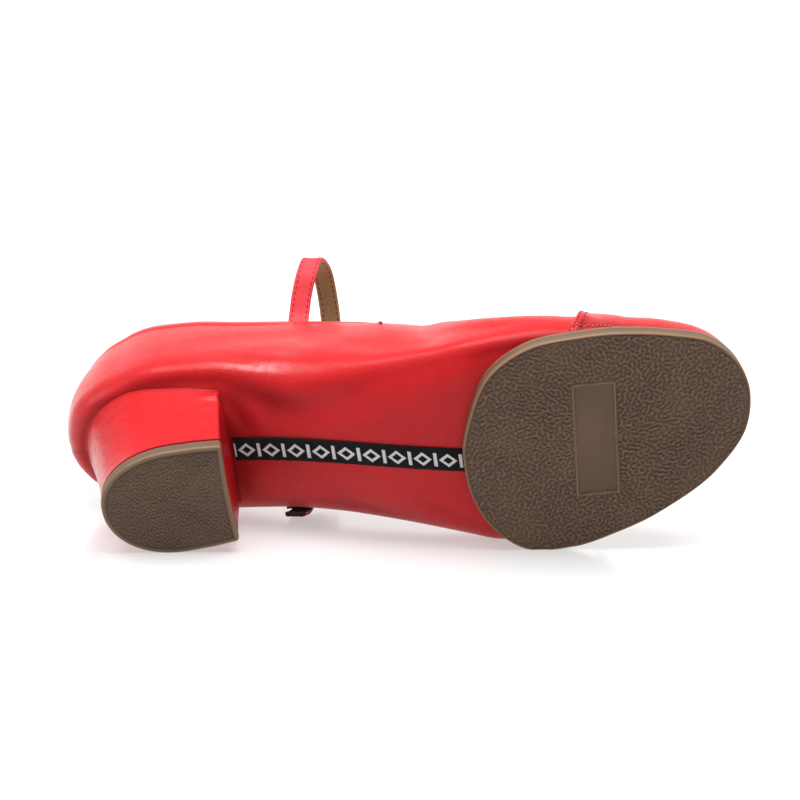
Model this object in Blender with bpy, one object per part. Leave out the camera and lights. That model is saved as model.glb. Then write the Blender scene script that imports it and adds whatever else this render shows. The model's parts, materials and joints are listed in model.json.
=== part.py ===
"""A left dance shoe with a block heel and an instep strap, lying on its outer side on a floor.

Sizes are in millimetres in the shoe's own axes and become metres at the end:
x runs from the heel's back to the toe, s towards the inner (big toe) side and z up from the plane
on which the heel and the ball of the sole would both stand.
"""

import math

import bmesh
import bpy
import numpy as np
from mathutils import Matrix, Vector

MM = 0.001
GAP = 0.3  # between pieces that touch

# Leather and sole thicknesses
WALL = 1.9
CAP_THICK = 1.1
INSOLE_THICK = 2.6
PAD_THICK = 4.0
LIFT_THICK = 5.5
TAPE_THICK = 0.8
PATCH_THICK = 1.1
STRAP_THICK = 1.9

# The heel part of the form fans out round one centre, the toe part round another
HEEL_CENTRE = 35.0
TOE_CENTRE = 192.0
THROAT = 160.0
TOE_SLOPE = -0.33  # of the ridge where the toe part starts

# Sections of the form: half widths of the widest line on the inner and outer side, the height of
# the underside, of the widest line, of the ridge and of the top line, and how square the
# underside is (2 is an ellipse)
FORM_COLUMNS = ("x", "inner", "outer", "under", "widest", "ridge", "topline", "square")
FORM = (
    (-6, 30.2, 29.0, 43.6, 60, 120, 87.0, 3.2),
    (15, 30.8, 29.0, 40.4, 57.5, 120, 87.0, 3.2),
    (35, 31.6, 29.6, 36.4, 54.5, 120, 86.0, 3.1),
    (50, 32.0, 31.2, 32.6, 51, 118, 83.5, 2.8),
    (65, 31.0, 32.2, 28.6, 47, 113, 80.5, 2.4),
    (80, 30.6, 32.6, 23.4, 42, 106, 78.0, 2.2),
    (95, 31.0, 33.8, 17.8, 36.5, 97, 76.0, 2.2),
    (110, 32.0, 36.0, 12.2, 31, 88, 73.0, 2.3),
    (125, 33.4, 38.8, 7.8, 26, 77.5, 67.5, 2.6),
    (140, 36.0, 42.2, 5.0, 21, 67.5, 61.0, 3.1),
    (150, 37.5, 44.8, 4.3, 17.8, 60.6, 57.2, 3.5),
    (160, 38.2, 45.5, 4.3, 16.8, 54, 54, 3.9),
    (175, 38.0, 44.0, 4.3, 16.6, 46, 54, 4.1),
    (190, 36.4, 41.2, 4.3, 16.8, 39.6, 54, 4.2),
    (202, 34.6, 37.6, 4.3, 17.2, 35.6, 54, 4.2),
    (214, 32.6, 33.0, 5.4, 17.6, 33, 54, 4.1),
    (228, 28.6, 26.0, 7.8, 18.6, 30, 54, 4.0),
    (240, 20.0, 14.0, 10.6, 19.8, 26, 54, 4.0),
    (252, 10.0, 10.0, 13.6, 21.5, 22, 54, 4.0),
)
UPPER_SQUARE = 2.15  # how square the form is over its widest line
CAP_SEAM = ((9.5, 185.5), (18, 189.2), (28, 191.4), (38, 192.0))  # z, x of the toe cap's back edge
HEEL_LEAN = 4.2  # how far the back of the form leans in at the top line

# Reach of the widest line from the two centres, by the angle from straight ahead, inner side first
TOE_COLUMNS = ("angle", "reach")
TOE = (
    (-112.5, 47.6),
    (-90, 41.1),
    (-67.5, 39.2),
    (-45, 42.4),
    (-22.5, 49.2),
    (0, 53.6),
    (22.5, 49.3),
    (45, 41.1),
    (67.5, 35.7),
    (90, 36.1),
    (112.5, 40.3),
)
HEEL = (
    (67.5, 34.2),
    (90, 31.6),
    (112.5, 31.2),
    (135, 34.0),
    (157.5, 37.4),
    (180, 38.0),
    (202.5, 35.6),
    (225, 31.2),
    (247.5, 28.8),
    (270, 29.6),
    (292.5, 32.0),
)

# Mesh of the form
FAN_STEPS = 12
UNDER_STEPS = 8
SIDE_STEPS = 8

# Forefoot sole: its outline, point by point round from its rear end by the inner side
PAD_OUTLINE = (
    (141.4, -3),
    (145.3, 12.7),
    (155.4, 30.2),
    (168.8, 37.5),
    (186, 38.9),
    (203, 37.8),
    (219.6, 33.3),
    (234.7, 26.2),
    (243.8, 15),
    (247.3, 1.5),
    (244.7, -11.8),
    (232.3, -25.5),
    (212.4, -35.8),
    (193.6, -42.2),
    (176.6, -45.5),
    (159, -43.1),
    (148.2, -32.4),
    (142.2, -17),
)
PAD_EDGE = ((0.5, 6.3), (0.0, 4.0), (0.0, 2.0), (0.6, 0.8), (1.9, 0.0))  # inset, height
PAD_POINTS = 60
PANEL = {"x": 189.3, "s": -2.6, "long": 43.8, "wide": 14, "depth": 0.6, "turn": 3.8}

# Heel: outlines of its foot and of its seat. front and back are x, inner and outer the half
# widths at the front corners, belly what the widest line adds, widest its place from the back and
# bow how far the middle of the front stands ahead of its corners
FOOT = {"front": 56.8, "back": 10.6, "inner": 18.8, "outer": 20.8, "belly": 0.9, "widest": 0.6, "bow": -0.6}
SEAT = {"front": 57.3, "back": 4.6, "inner": 24.0, "outer": 25.0, "belly": 1.4, "widest": 0.55, "bow": 1.0}
HEEL_POINTS = 48
BLOCK_LEVELS = 6
BLOCK_FLARE = 1.35
LIFT_EDGE = ((0.0, 0.0), (0.0, 4.2), (0.4, 5.1), (1.3, 5.5))  # inset, depth below its top

# Woven tape along the seam under the arch
TAPE = {"back": 59.6, "front": 140.4, "width": 9.4}
TAPE_ROUTE = ((50, 0.8), (80, 0.6), (110, -1.0), (130, -3.2), (150, -6.2))

# Strap: where it lies inside the inner wall, its free loop, and where it lies on the outer wall
STRAP_WIDTH = 8.2
STRAP_INSIDE = ((88.0, 62), (89.0, 68), (90.0, 74))  # x, z
STRAP_LOOP = (
    (90.8, 20.4, 80.4),
    (92.2, 22.8, 86.4),
    (94.2, 28.6, 91.8),
    (96.6, 34.8, 97.4),
    (98.6, 37.4, 104.8),
    (100.4, 31.4, 111.2),
    (101.2, 17.0, 113.6),
    (100.2, 0.0, 110.6),
    (97.8, -16.0, 101.8),
    (94.6, -27.0, 89),
    (91.6, -32.6, 77),
)
STRAP_OUTSIDE = ((88.2, 68), (84.8, 58), (81.8, 49), (79.4, 41), (77.6, 34))  # x, z
STRAP_POINTS = 52
PATCH = {"x": (89.4, 80.2), "z": (67.5, 40), "width": 12.5}

# The balance point says on which face of its hull the shoe lies
BALANCE = (100, -2, 32)

COLOURS = {
    "red_leather": ((0.60, 0.016, 0.022), 0.42),
    "cap_leather": ((0.64, 0.018, 0.024), 0.40),
    "sole_rubber": ((0.135, 0.088, 0.058), 0.62),
    "lift_rubber": ((0.125, 0.083, 0.055), 0.62),
    "black_tape": ((0.012, 0.012, 0.013), 0.85),
    "tan_lining": ((0.36, 0.23, 0.125), 0.75),
    "dark_hook": ((0.03, 0.018, 0.014), 0.95),
}


def column(table, names, name):
    return [row[names.index(name)] for row in table]


def smooth(at, xs, ys):
    """A curve through the points of a table, level at its peaks and where it meets a flat."""
    k = min(max(np.searchsorted(xs, at) - 1, 0), len(xs) - 2)
    slopes = np.gradient(ys, xs)
    steps = np.diff(ys)
    slopes[1:-1][steps[1:] * steps[:-1] <= 0] = 0
    width = xs[k + 1] - xs[k]
    t = (at - xs[k]) / width
    return (
        (2 * t**3 - 3 * t**2 + 1) * ys[k]
        + (t**3 - 2 * t**2 + t) * width * slopes[k]
        + (3 * t**2 - 2 * t**3) * ys[k + 1]
        + (t**3 - t**2) * width * slopes[k + 1]
    )


def form(name, x):
    return smooth(x, column(FORM, FORM_COLUMNS, "x"), column(FORM, FORM_COLUMNS, name))


def reach(table, angle):
    return smooth(angle, column(table, TOE_COLUMNS, "angle"), column(table, TOE_COLUMNS, "reach"))


def lift(share, square):
    """How far the underside has risen, from 0 at the middle to 1 at the widest line."""
    return 1 - max(0.0, 1 - abs(share) ** square) ** (1 / square)


def make_rib(centre, angle, wide):
    """A half section of the form, in the upright plane through its centre that faces angle."""
    return {
        "centre": centre,
        "ahead": math.cos(math.radians(angle)),
        "aside": math.sin(math.radians(angle)),
        "wide": wide,
    }


def ribs():
    """Half sections all round the form, from the toe by the inner side to the heel and back."""
    toe = np.linspace(0, 90, FAN_STEPS // 2 + 1)
    inner = [make_rib(TOE_CENTRE, a, reach(TOE, a)) for a in toe]
    outer = [make_rib(TOE_CENTRE, -a, reach(TOE, -a)) for a in toe]
    vamp = np.linspace(TOE_CENTRE, THROAT, 5)[1:]
    throat = THROAT - (THROAT - 104) * np.linspace(0, 1, 9)[1:] ** 2
    quarter = np.linspace(104, HEEL_CENTRE, 7)[1:-1]
    for x in (*vamp, *throat, *quarter):
        inner.append(make_rib(x, 90, form("inner", x)))
        outer.append(make_rib(x, -90, form("outer", x)))
    for a in np.linspace(90, 180, FAN_STEPS // 2 + 1):
        inner.append(make_rib(HEEL_CENTRE, a, reach(HEEL, a)))
        outer.append(make_rib(HEEL_CENTRE, -a, reach(HEEL, 360 - a)))
    return inner + outer[-2:0:-1]


def rib_point(rib, share, height):
    return (rib["centre"] + rib["ahead"] * share, rib["aside"] * share, height)


def rib_points(rib):
    """Points of a half section, from the middle of the underside to the ridge or the top line."""
    edge = rib["centre"] + rib["ahead"] * rib["wide"]
    square = form("square", edge)
    rise = form("widest", edge) - form("under", edge)
    points = []
    for k in range(UNDER_STEPS + 1):
        share = math.sin(0.5 * math.pi * k / UNDER_STEPS) ** (2 / square)
        x = rib["centre"] + rib["ahead"] * rib["wide"] * share
        points.append(rib_point(rib, rib["wide"] * share, form("under", x) + rise * lift(share, square)))
    low, top = points[-1][2], form("ridge", rib["centre"])
    open_part = min(1.0, (form("topline", edge) - low) / (top - low))
    last_turn = math.asin(open_part ** (UPPER_SQUARE / 2))
    for k in range(1, SIDE_STEPS + 1):
        turn = last_turn * k / SIDE_STEPS
        share = max(0.0, math.cos(turn)) ** (2 / UPPER_SQUARE)
        height = low + (top - low) * math.sin(turn) ** (2 / UPPER_SQUARE)
        if rib["ahead"] > 0.001 and rib["centre"] > THROAT:
            height += TOE_SLOPE * rib["ahead"] * rib["wide"] * share * (1 - share)
        lean = HEEL_LEAN * max(0.0, -rib["ahead"]) ** 3 * (k / SIDE_STEPS) ** 1.6
        points.append(rib_point(rib, rib["wide"] * (share if share > 1e-4 else 0.0) - lean, height))
    return points


def form_grid():
    """(points, outward normals) of the form's surface, rib by rib."""
    grid = np.array([rib_points(rib) for rib in ribs()])
    across = np.roll(grid, -1, 0) - np.roll(grid, 1, 0)
    along = np.gradient(grid, axis=1)
    normals = np.cross(across, along)
    half = len(grid) // 2
    mirror = [(-i) % len(grid) for i in range(len(grid))]
    for j in (0, grid.shape[1] - 1):
        joined = np.linalg.norm(grid[:, j] - grid[mirror, j], axis=1) < 0.01
        summed = normals[:, j] + normals[mirror, j]
        normals[joined, j] = summed[joined]
    centre = np.abs(grid[:, -1, 0] - TOE_CENTRE) + np.abs(grid[:, -1, 1]) < 0.01
    normals[centre, -1] = (-TOE_SLOPE, 0, 1)
    normals[:, 0] = np.where(np.abs(normals[:, :1, 2]) < 1e-9, (0, 0, -1), normals[:, 0])
    normals[half, 0] = (0, 0, -1)
    lengths = np.linalg.norm(normals, axis=2, keepdims=True)
    return grid, normals / np.maximum(lengths, 1e-9)


def underside(x, s):
    """Height of the form's underside at a place in plan."""
    if x < HEEL_CENTRE:
        angle = math.degrees(math.atan2(abs(s), x - HEEL_CENTRE))
        wide = reach(HEEL, angle)
        share = math.hypot(x - HEEL_CENTRE, s) / wide
        edge = HEEL_CENTRE + (x - HEEL_CENTRE) / max(share, 1e-6)
    else:
        share = abs(s) / form("inner" if s > 0 else "outer", x)
        edge = x
    square = form("square", edge)
    rise = form("widest", edge) - form("under", edge)
    return form("under", x) + rise * lift(min(share, 0.999), square)


def wall_point(x, z, side, out):
    """A point that far outside the form's side wall at this x and height; side is 1 or -1."""

    def s_at(x, z):
        wide = form("inner" if side > 0 else "outer", x)
        low, top, under = form("widest", x), form("ridge", x), form("under", x)
        if z > low:
            share = (z - low) / (top - low)
            return wide * (1 - share**UPPER_SQUARE) ** (1 / UPPER_SQUARE)
        square = form("square", x)
        share = (low - z) / (low - under)
        return wide * (1 - share**square) ** (1 / square)

    step = 0.5
    by_x = (s_at(x + step, z) - s_at(x - step, z)) / (2 * step)
    by_z = (s_at(x, z + step) - s_at(x, z - step)) / (2 * step)
    normal = Vector((-by_x, 1, -by_z)).normalized()
    return Vector((x + out * normal.x, side * (s_at(x, z) + out * normal.y), z + out * normal.z))


def to_metres(point):
    """From the shoe's own x, s, z to right-handed metres, with the outer side at +y."""
    return Vector((point[0] * MM, -point[1] * MM, point[2] * MM))


def make_material(name):
    colour, roughness = COLOURS[name]
    material = bpy.data.materials.new(name)
    material.use_nodes = True
    shader = material.node_tree.nodes["Principled BSDF"]
    shader.inputs["Base Color"].default_value = (*colour, 1)
    shader.inputs["Roughness"].default_value = roughness
    shader.inputs["Metallic"].default_value = 0
    return material


def make_object(name, bm, material, parent):
    bmesh.ops.remove_doubles(bm, verts=bm.verts, dist=0.001 * MM)
    bmesh.ops.recalc_face_normals(bm, faces=bm.faces)
    mesh = bpy.data.meshes.new(name)
    bm.to_mesh(mesh)
    bm.free()
    mesh.shade_smooth()
    mesh.set_sharp_from_angle(angle=math.radians(40))
    mesh.materials.append(material)
    thing = bpy.data.objects.new(name, mesh)
    bpy.context.scene.collection.objects.link(thing)
    thing.parent = parent
    return thing


def add_surface(bm, grid, around):
    """Quads over a grid of points, closed round its first direction if around is True."""
    rows = [[bm.verts.new(to_metres(p)) for p in row] for row in grid]
    faces = []
    for i in range(len(rows) if around else len(rows) - 1):
        a, b = rows[i], rows[(i + 1) % len(rows)]
        for j in range(len(a) - 1):
            faces.append(bm.faces.new((a[j], b[j], b[j + 1], a[j + 1])))
    return [v for row in rows for v in row]


def close_skin(bm, first, second):
    """Joins the rims of two skins that lie one over the other."""
    for verts in (first, second):
        bmesh.ops.remove_doubles(bm, verts=verts, dist=0.001 * MM)
    rims = [e for e in bm.edges if e.is_boundary]
    bmesh.ops.bridge_loops(bm, edges=rims)


def make_skin(name, grid, normals, near, far, around, material, parent):
    """A solid between two offsets of a part of the form's surface."""
    bm = bmesh.new()
    first = add_surface(bm, grid + normals * near, around)
    second = add_surface(bm, grid + normals * far, around)
    close_skin(bm, first, second)
    return make_object(name, bm, material, parent)


def make_form_cutter(grid, normals, material, parent):
    """The whole form, one gap larger than the upper, to cut what lies against it."""
    bm = bmesh.new()
    add_surface(bm, grid + normals * GAP, True)
    bmesh.ops.remove_doubles(bm, verts=bm.verts, dist=0.001 * MM)
    bmesh.ops.holes_fill(bm, edges=[e for e in bm.edges if e.is_boundary])
    bmesh.ops.triangulate(bm, faces=[f for f in bm.faces if len(f.verts) > 4])
    return hide_cutter(make_object("form_cutter", bm, material, parent))


def hide_cutter(cutter):
    cutter.hide_render = True
    cutter.display_type = "WIRE"
    return cutter


def cut(thing, cutter):
    change = thing.modifiers.new(cutter.name, "BOOLEAN")
    change.operation = "DIFFERENCE"
    change.solver = "EXACT"
    change.object = cutter


def make_upper(grid, normals, material, parent):
    return make_skin("upper", grid, normals, 0, -WALL, True, material, parent)


def seam_shares(rib, behind):
    """How far each point of the toe part's last rib moves to the rib behind to stand on the seam."""
    heights, places = zip(*CAP_SEAM)
    wanted = np.array([smooth(z, heights, places) for z in rib[:, 2]])
    return np.clip((rib[:, 0] - wanted) / (rib[:, 0] - behind[:, 0]), 0, 1)[:, None]


def make_toe_cap(grid, normals, material, parent):
    """An overlay on the toe part, from under the sole's edge to the sloping seam at its back."""
    toe = FAN_STEPS // 2
    near, far = GAP, GAP + CAP_THICK
    inner, outer = (seam_shares(grid[side * toe], grid[side * (toe + 1)]) for side in (1, -1))

    def cap_part(values):
        rows = [values[i] for i in range(-toe, toe + 1)]
        rows.insert(0, values[-toe] * (1 - outer) + values[-toe - 1] * outer)
        rows.append(values[toe] * (1 - inner) + values[toe + 1] * inner)
        return np.array(rows)[:, UNDER_STEPS - 4 :]

    def cutter_part(values):
        return np.array([values[i] for i in range(-toe - 2, toe + 3)])[:, UNDER_STEPS - 5 :]

    cap = make_skin(
        "toe_cap", cap_part(grid), cap_part(normals), near, far, False, material, parent
    )
    cutter = make_skin(
        "cap_cutter", cutter_part(grid), cutter_part(normals), 0, far + GAP, False, material, parent
    )
    return cap, hide_cutter(cutter)


def make_insole(grid, normals, material, parent):
    rows = slice(0, UNDER_STEPS - 2)
    near = -WALL - GAP
    return make_skin(
        "insole", grid[:, rows], normals[:, rows], near, near - INSOLE_THICK, True, material, parent
    )


def closed_curve(points, count):
    """count points along a smooth closed curve through the given ones."""
    given = np.array(points, float)
    steps = np.linalg.norm(np.roll(given, -1, 0) - given, axis=1)
    at = np.concatenate([[0], np.cumsum(steps)])
    wrapped = np.vstack([given[-2:], given, given[:3]])
    places = np.concatenate([at[-3:-1] - at[-1], at, at[-1] + at[1:3]])
    return [
        [smooth(t, places, wrapped[:, 0]), smooth(t, places, wrapped[:, 1])]
        for t in np.linspace(0, at[-1], count, endpoint=False)
    ]


def inset(outline, by):
    """The outline moved inwards by this much, point by point."""
    ring = np.array(outline)
    along = np.roll(ring, -1, 0) - np.roll(ring, 1, 0)
    inward = np.stack([along[:, 1], -along[:, 0]], 1)
    inward /= np.linalg.norm(inward, axis=1, keepdims=True)
    if np.mean(((ring - ring.mean(0)) * inward).sum(1)) > 0:
        inward = -inward
    return ring + inward * by


def add_rings(bm, rings):
    """Walls between closed rings of points, each with its cap left open."""
    made = [[bm.verts.new(to_metres(p)) for p in ring] for ring in rings]
    for a, b in zip(made, made[1:]):
        for k in range(len(a)):
            n = (k + 1) % len(a)
            bm.faces.new((a[k], a[n], b[n], b[k]))
    return made


def disc_rings(outline, height, scales):
    """Rings from an outline in to its middle, each point at the height of its own place."""
    ring = np.array(outline)
    middle = ring.mean(0)
    return [
        [(x, s, height(x, s)) for x, s in middle + (ring - middle) * scale] for scale in scales
    ]


def make_forefoot_sole(cutters, material, parent):
    outline = closed_curve(PAD_OUTLINE, PAD_POINTS)

    def top(x, s):
        return form("under", x) + 2

    def bottom(x, s):
        return form("under", x) - GAP - PAD_THICK

    scales = (0.75, 0.5, 0.25, 0.0)
    rings = disc_rings(inset(outline, PAD_EDGE[0][0]), top, scales)[::-1]
    for by, depth in PAD_EDGE:
        rings.append([(x, s, bottom(x, s) + depth) for x, s in inset(outline, by)])
    rings += disc_rings(inset(outline, PAD_EDGE[-1][0]), bottom, scales)
    bm = bmesh.new()
    add_rings(bm, rings)
    pad = make_object("forefoot_sole", bm, material, parent)

    bm = bmesh.new()
    bmesh.ops.create_cube(bm, size=1)
    size = (PANEL["wide"], PANEL["long"], 2 * PANEL["depth"])
    bmesh.ops.scale(bm, vec=Vector(size) * MM, verts=bm.verts)
    turn = Matrix.Rotation(math.radians(PANEL["turn"]), 4, "Z")
    place = Matrix.Translation(to_metres((PANEL["x"], PANEL["s"], 0)))
    bmesh.ops.transform(bm, matrix=place @ turn, verts=bm.verts)
    panel = hide_cutter(make_object("panel_cutter", bm, material, parent))
    for cutter in (panel, *cutters):
        cut(pad, cutter)
    return pad


def heel_outline(sizes):
    """A D with its flat side to the front and a round back, from the front's middle and round."""
    long = sizes["front"] - sizes["back"]
    middle = sizes["back"] + sizes["widest"] * long
    points = []
    for k in range(HEEL_POINTS + 1):
        turn = math.pi * k / HEEL_POINTS
        side = sizes["inner"] if turn < math.pi / 2 else -sizes["outer"]
        belly = math.copysign(sizes["belly"], side)
        share = abs(math.cos(turn)) ** 0.95
        points.append([middle - (middle - sizes["back"]) * math.sin(turn) ** 0.95, (side + belly) * share])
    front = []
    for side, belly in ((-sizes["outer"], -sizes["belly"]), (sizes["inner"], sizes["belly"])):
        inward = math.copysign(1.1, side)
        corner = [
            [middle + 0.5 * (sizes["front"] - middle), side + 0.8 * belly],
            [sizes["front"] - 1.0, side],
            [sizes["front"], side - inward],
            [sizes["front"] + 0.75 * sizes["bow"], 0.5 * side],
        ]
        front += corner if side < 0 else corner[::-1]
        if side < 0:
            front.append([sizes["front"] + sizes["bow"], 0.0])
    return np.array(points + front)


def make_heel_block(cutter, material, parent):
    foot, seat = heel_outline(FOOT), heel_outline(SEAT)
    low = LIFT_THICK + GAP
    seat_heights = np.array([underside(x, s) + 0.5 for x, s in seat])
    rings = [[(*foot.mean(0), low)] * len(foot)]
    for k in range(BLOCK_LEVELS + 1):
        t = k / BLOCK_LEVELS
        plan = foot + (seat - foot) * t**BLOCK_FLARE
        heights = low + (seat_heights - low) * t
        rings.append([(x, s, z) for (x, s), z in zip(plan, heights)])
    high = max(seat_heights)
    rings += disc_rings(seat, lambda x, s: high, (0.9, 0.0))
    bm = bmesh.new()
    add_rings(bm, rings)
    block = make_object("heel_block", bm, material, parent)
    cut(block, cutter)
    return block


def make_heel_lift(material, parent):
    foot = heel_outline(FOOT)
    middle = foot.mean(0)
    rings = [[(*middle, LIFT_THICK)] * len(foot)]
    rings += [[(x, s, LIFT_THICK - depth) for x, s in inset(foot, by)] for by, depth in LIFT_EDGE]
    rings.append([(*middle, 0)] * len(foot))
    bm = bmesh.new()
    add_rings(bm, rings)
    return make_object("heel_lift", bm, material, parent)


def make_arch_tape(cutter, material, parent):
    route_x, route_s = zip(*TAPE_ROUTE)
    sections = []
    for x in np.linspace(TAPE["back"], TAPE["front"], 15):
        middle = smooth(x, route_x, route_s)
        across = [middle + TAPE["width"] * share for share in (-0.5, -0.17, 0.17, 0.5)]
        top = [(x, s, underside(x, s) + 1) for s in across]
        below = [(x, s, underside(x, s) - GAP - TAPE_THICK) for s in across]
        sections.append(top + below[::-1])
    first = np.mean(sections[0], 0)
    last = np.mean(sections[-1], 0)
    count = len(sections[0])
    bm = bmesh.new()
    add_rings(bm, [[first] * count, *sections, [last] * count])
    tape = make_object("arch_tape", bm, material, parent)
    cut(tape, cutter)
    return tape


def strap_route():
    """Middle line of the strap from its sewn end to its free end."""
    inside = [wall_point(x, z, 1, -WALL - 2 * GAP - STRAP_THICK / 2) for x, z in STRAP_INSIDE]
    over = GAP + PATCH_THICK + 2 * GAP + STRAP_THICK / 2
    outside = [wall_point(x, z, -1, over) for x, z in STRAP_OUTSIDE]
    points = np.array([*inside, *STRAP_LOOP, *outside])
    steps = np.linalg.norm(np.diff(points, axis=0), axis=1)
    at = np.concatenate([[0], np.cumsum(steps)])
    return np.array(
        [[smooth(t, at, points[:, k]) for k in range(3)] for t in np.linspace(0, at[-1], STRAP_POINTS)]
    )


def ribbon_sections(route, width, thick):
    """Flat sections along a route, with their width nearly along x."""
    along = np.gradient(route, axis=0)
    along /= np.linalg.norm(along, axis=1, keepdims=True)
    across = np.array([1.0, 0, 0]) - along * along[:, :1]
    across /= np.linalg.norm(across, axis=1, keepdims=True)
    out = np.cross(along, across)
    half = (across * width / 2, out * thick / 2)
    corners = ((-1, -1), (1, -1), (1, 1), (-1, 1))
    return [[route[i] + a * half[0][i] + b * half[1][i] for a, b in corners] for i in range(len(route))]


def make_ribbon(name, route, width, thick, material, parent):
    sections = ribbon_sections(route, width, thick)
    bm = bmesh.new()
    rings = [[route[0]] * 4, *sections, [route[-1]] * 4]
    add_rings(bm, rings)
    return make_object(name, bm, material, parent)


def make_strap_patch(material, parent):
    """The strip that the strap's free end holds on to, flat on the outer wall."""
    ends = np.linspace(0, 1, 9)
    xs = PATCH["x"][0] + (PATCH["x"][1] - PATCH["x"][0]) * ends
    zs = PATCH["z"][0] + (PATCH["z"][1] - PATCH["z"][0]) * ends
    sections = []
    for x, z in zip(xs, zs):
        across = [x + PATCH["width"] * share for share in (-0.5, 0, 0.5)]
        near = [wall_point(a, z, -1, GAP) for a in across]
        far = [wall_point(a, z, -1, GAP + PATCH_THICK) for a in across]
        sections.append(near + far[::-1])
    bm = bmesh.new()
    ends = [[np.mean(section, 0)] * len(section) for section in (sections[0], sections[-1])]
    add_rings(bm, [ends[0], *sections, ends[1]])
    return make_object("strap_patch", bm, material, parent)


def all_points(things):
    return [v.co.copy() for thing in things for v in thing.data.vertices]


def resting_face(points):
    """Outward normal of the hull's face that is under the balance point on the outer side."""
    bm = bmesh.new()
    for p in points:
        bm.verts.new(p)
    bmesh.ops.convex_hull(bm, input=bm.verts)
    bmesh.ops.delete(bm, geom=[v for v in bm.verts if not v.link_faces], context="VERTS")
    bm.normal_update()
    balance = to_metres(BALANCE)
    found = None
    for face in bm.faces:
        normal = face.normal
        if normal.y < 0.8:
            continue
        drop = (face.verts[0].co - balance).dot(normal) / normal.dot(normal)
        foot = balance + normal * drop
        corners = [v.co for v in face.verts]
        turns = [
            (corners[(k + 1) % 3] - corners[k]).cross(foot - corners[k]).dot(normal) for k in range(3)
        ]
        if min(turns) >= 0:
            found = normal.copy()
    bm.free()
    return found


def lay_down(shoe, things):
    """Turns the standing shoe on to its outer side, toe towards +X and sole towards -Y."""
    points = all_points(things)
    down = resting_face(points)
    up = -down
    toe = Vector((1, 0, 0))
    toe = (toe - up * toe.dot(up)).normalized()
    turn = Matrix((toe, up.cross(toe), up)).to_4x4()
    turned = [turn @ p for p in points]
    low = [min(p[k] for p in turned) for k in range(3)]
    high = [max(p[k] for p in turned) for k in range(3)]
    move = Vector((-(low[0] + high[0]) / 2, -(low[1] + high[1]) / 2, -low[2]))
    shoe.matrix_world = Matrix.Translation(move) @ turn


def main():
    for thing in list(bpy.data.objects):
        bpy.data.objects.remove(thing)
    shoe = bpy.data.objects.new("shoe", None)
    bpy.context.scene.collection.objects.link(shoe)
    materials = {name: make_material(name) for name in COLOURS}
    grid, normals = form_grid()
    form_cutter = make_form_cutter(grid, normals, materials["red_leather"], shoe)
    cap, cap_cutter = make_toe_cap(grid, normals, materials["cap_leather"], shoe)
    things = [
        make_upper(grid, normals, materials["red_leather"], shoe),
        cap,
        make_insole(grid, normals, materials["tan_lining"], shoe),
        make_forefoot_sole((form_cutter, cap_cutter), materials["sole_rubber"], shoe),
        make_heel_block(form_cutter, materials["red_leather"], shoe),
        make_heel_lift(materials["lift_rubber"], shoe),
        make_arch_tape(form_cutter, materials["black_tape"], shoe),
        make_ribbon("strap", strap_route(), STRAP_WIDTH, STRAP_THICK, materials["red_leather"], shoe),
        make_strap_patch(materials["dark_hook"], shoe),
    ]
    lay_down(shoe, things)


main()
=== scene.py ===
# Looks for a left dance shoe that lies on its outer side.
# Lengths are in millimetres in the shoe's own axes: x towards the toe, s towards the inner side,
# z up from the plane of its two treads. toWorld turns them into the frame's metres.

import json
import math

import bmesh
import bpy
import numpy as np
from mathutils import Matrix, Vector


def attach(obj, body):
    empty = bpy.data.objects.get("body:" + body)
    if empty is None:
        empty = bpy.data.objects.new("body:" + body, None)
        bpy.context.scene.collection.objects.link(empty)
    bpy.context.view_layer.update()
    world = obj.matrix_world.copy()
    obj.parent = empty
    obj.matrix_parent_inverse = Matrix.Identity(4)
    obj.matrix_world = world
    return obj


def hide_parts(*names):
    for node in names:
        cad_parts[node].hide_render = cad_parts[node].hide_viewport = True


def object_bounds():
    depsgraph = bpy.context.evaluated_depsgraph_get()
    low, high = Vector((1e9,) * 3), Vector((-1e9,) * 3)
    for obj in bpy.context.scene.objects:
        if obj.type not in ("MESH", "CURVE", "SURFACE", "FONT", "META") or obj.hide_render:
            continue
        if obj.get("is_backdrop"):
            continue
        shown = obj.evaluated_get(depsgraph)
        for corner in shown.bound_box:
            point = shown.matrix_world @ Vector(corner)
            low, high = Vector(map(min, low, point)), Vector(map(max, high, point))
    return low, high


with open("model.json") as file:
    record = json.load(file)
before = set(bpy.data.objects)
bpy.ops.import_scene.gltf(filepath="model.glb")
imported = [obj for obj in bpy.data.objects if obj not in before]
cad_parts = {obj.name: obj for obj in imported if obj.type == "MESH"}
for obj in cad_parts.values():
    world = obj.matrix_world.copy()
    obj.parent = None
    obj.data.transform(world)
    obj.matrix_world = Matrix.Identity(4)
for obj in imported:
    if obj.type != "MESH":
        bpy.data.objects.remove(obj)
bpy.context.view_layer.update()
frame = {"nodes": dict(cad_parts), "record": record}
print("frame loaded:", ", ".join(sorted(frame["nodes"])))

# the shoe's own axes
treadSpots = {"heel_tread": (33, 6), "forefoot_tread": (168, 8)}  # x, s of the two stated faces
mounts = {mount["name"]: mount for mount in frame["record"]["mounts"]}
heelSpot, foreSpot = (Vector(mounts[name]["pos_m"]) for name in treadSpots)
upWay = -Vector(mounts["heel_tread"]["axis"]).normalized()
between = (foreSpot - heelSpot).normalized()
sideways = between.cross(upWay).normalized()
(heelX, heelS), (foreX, foreS) = treadSpots.values()
lean = math.atan2(foreS - heelS, foreX - heelX)
toeWay = math.cos(lean) * between - math.sin(lean) * sideways
innerWay = math.sin(lean) * between + math.cos(lean) * sideways
upWay = innerWay.cross(toeWay)
shoeOrigin = heelSpot - (toeWay * heelX + innerWay * heelS) / 1000
axesMatrix = np.array([toeWay, innerWay, upWay])


def toWorld(points):
    return np.asarray(points, float) @ axesMatrix / 1000 + np.array(shoeOrigin)


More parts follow.
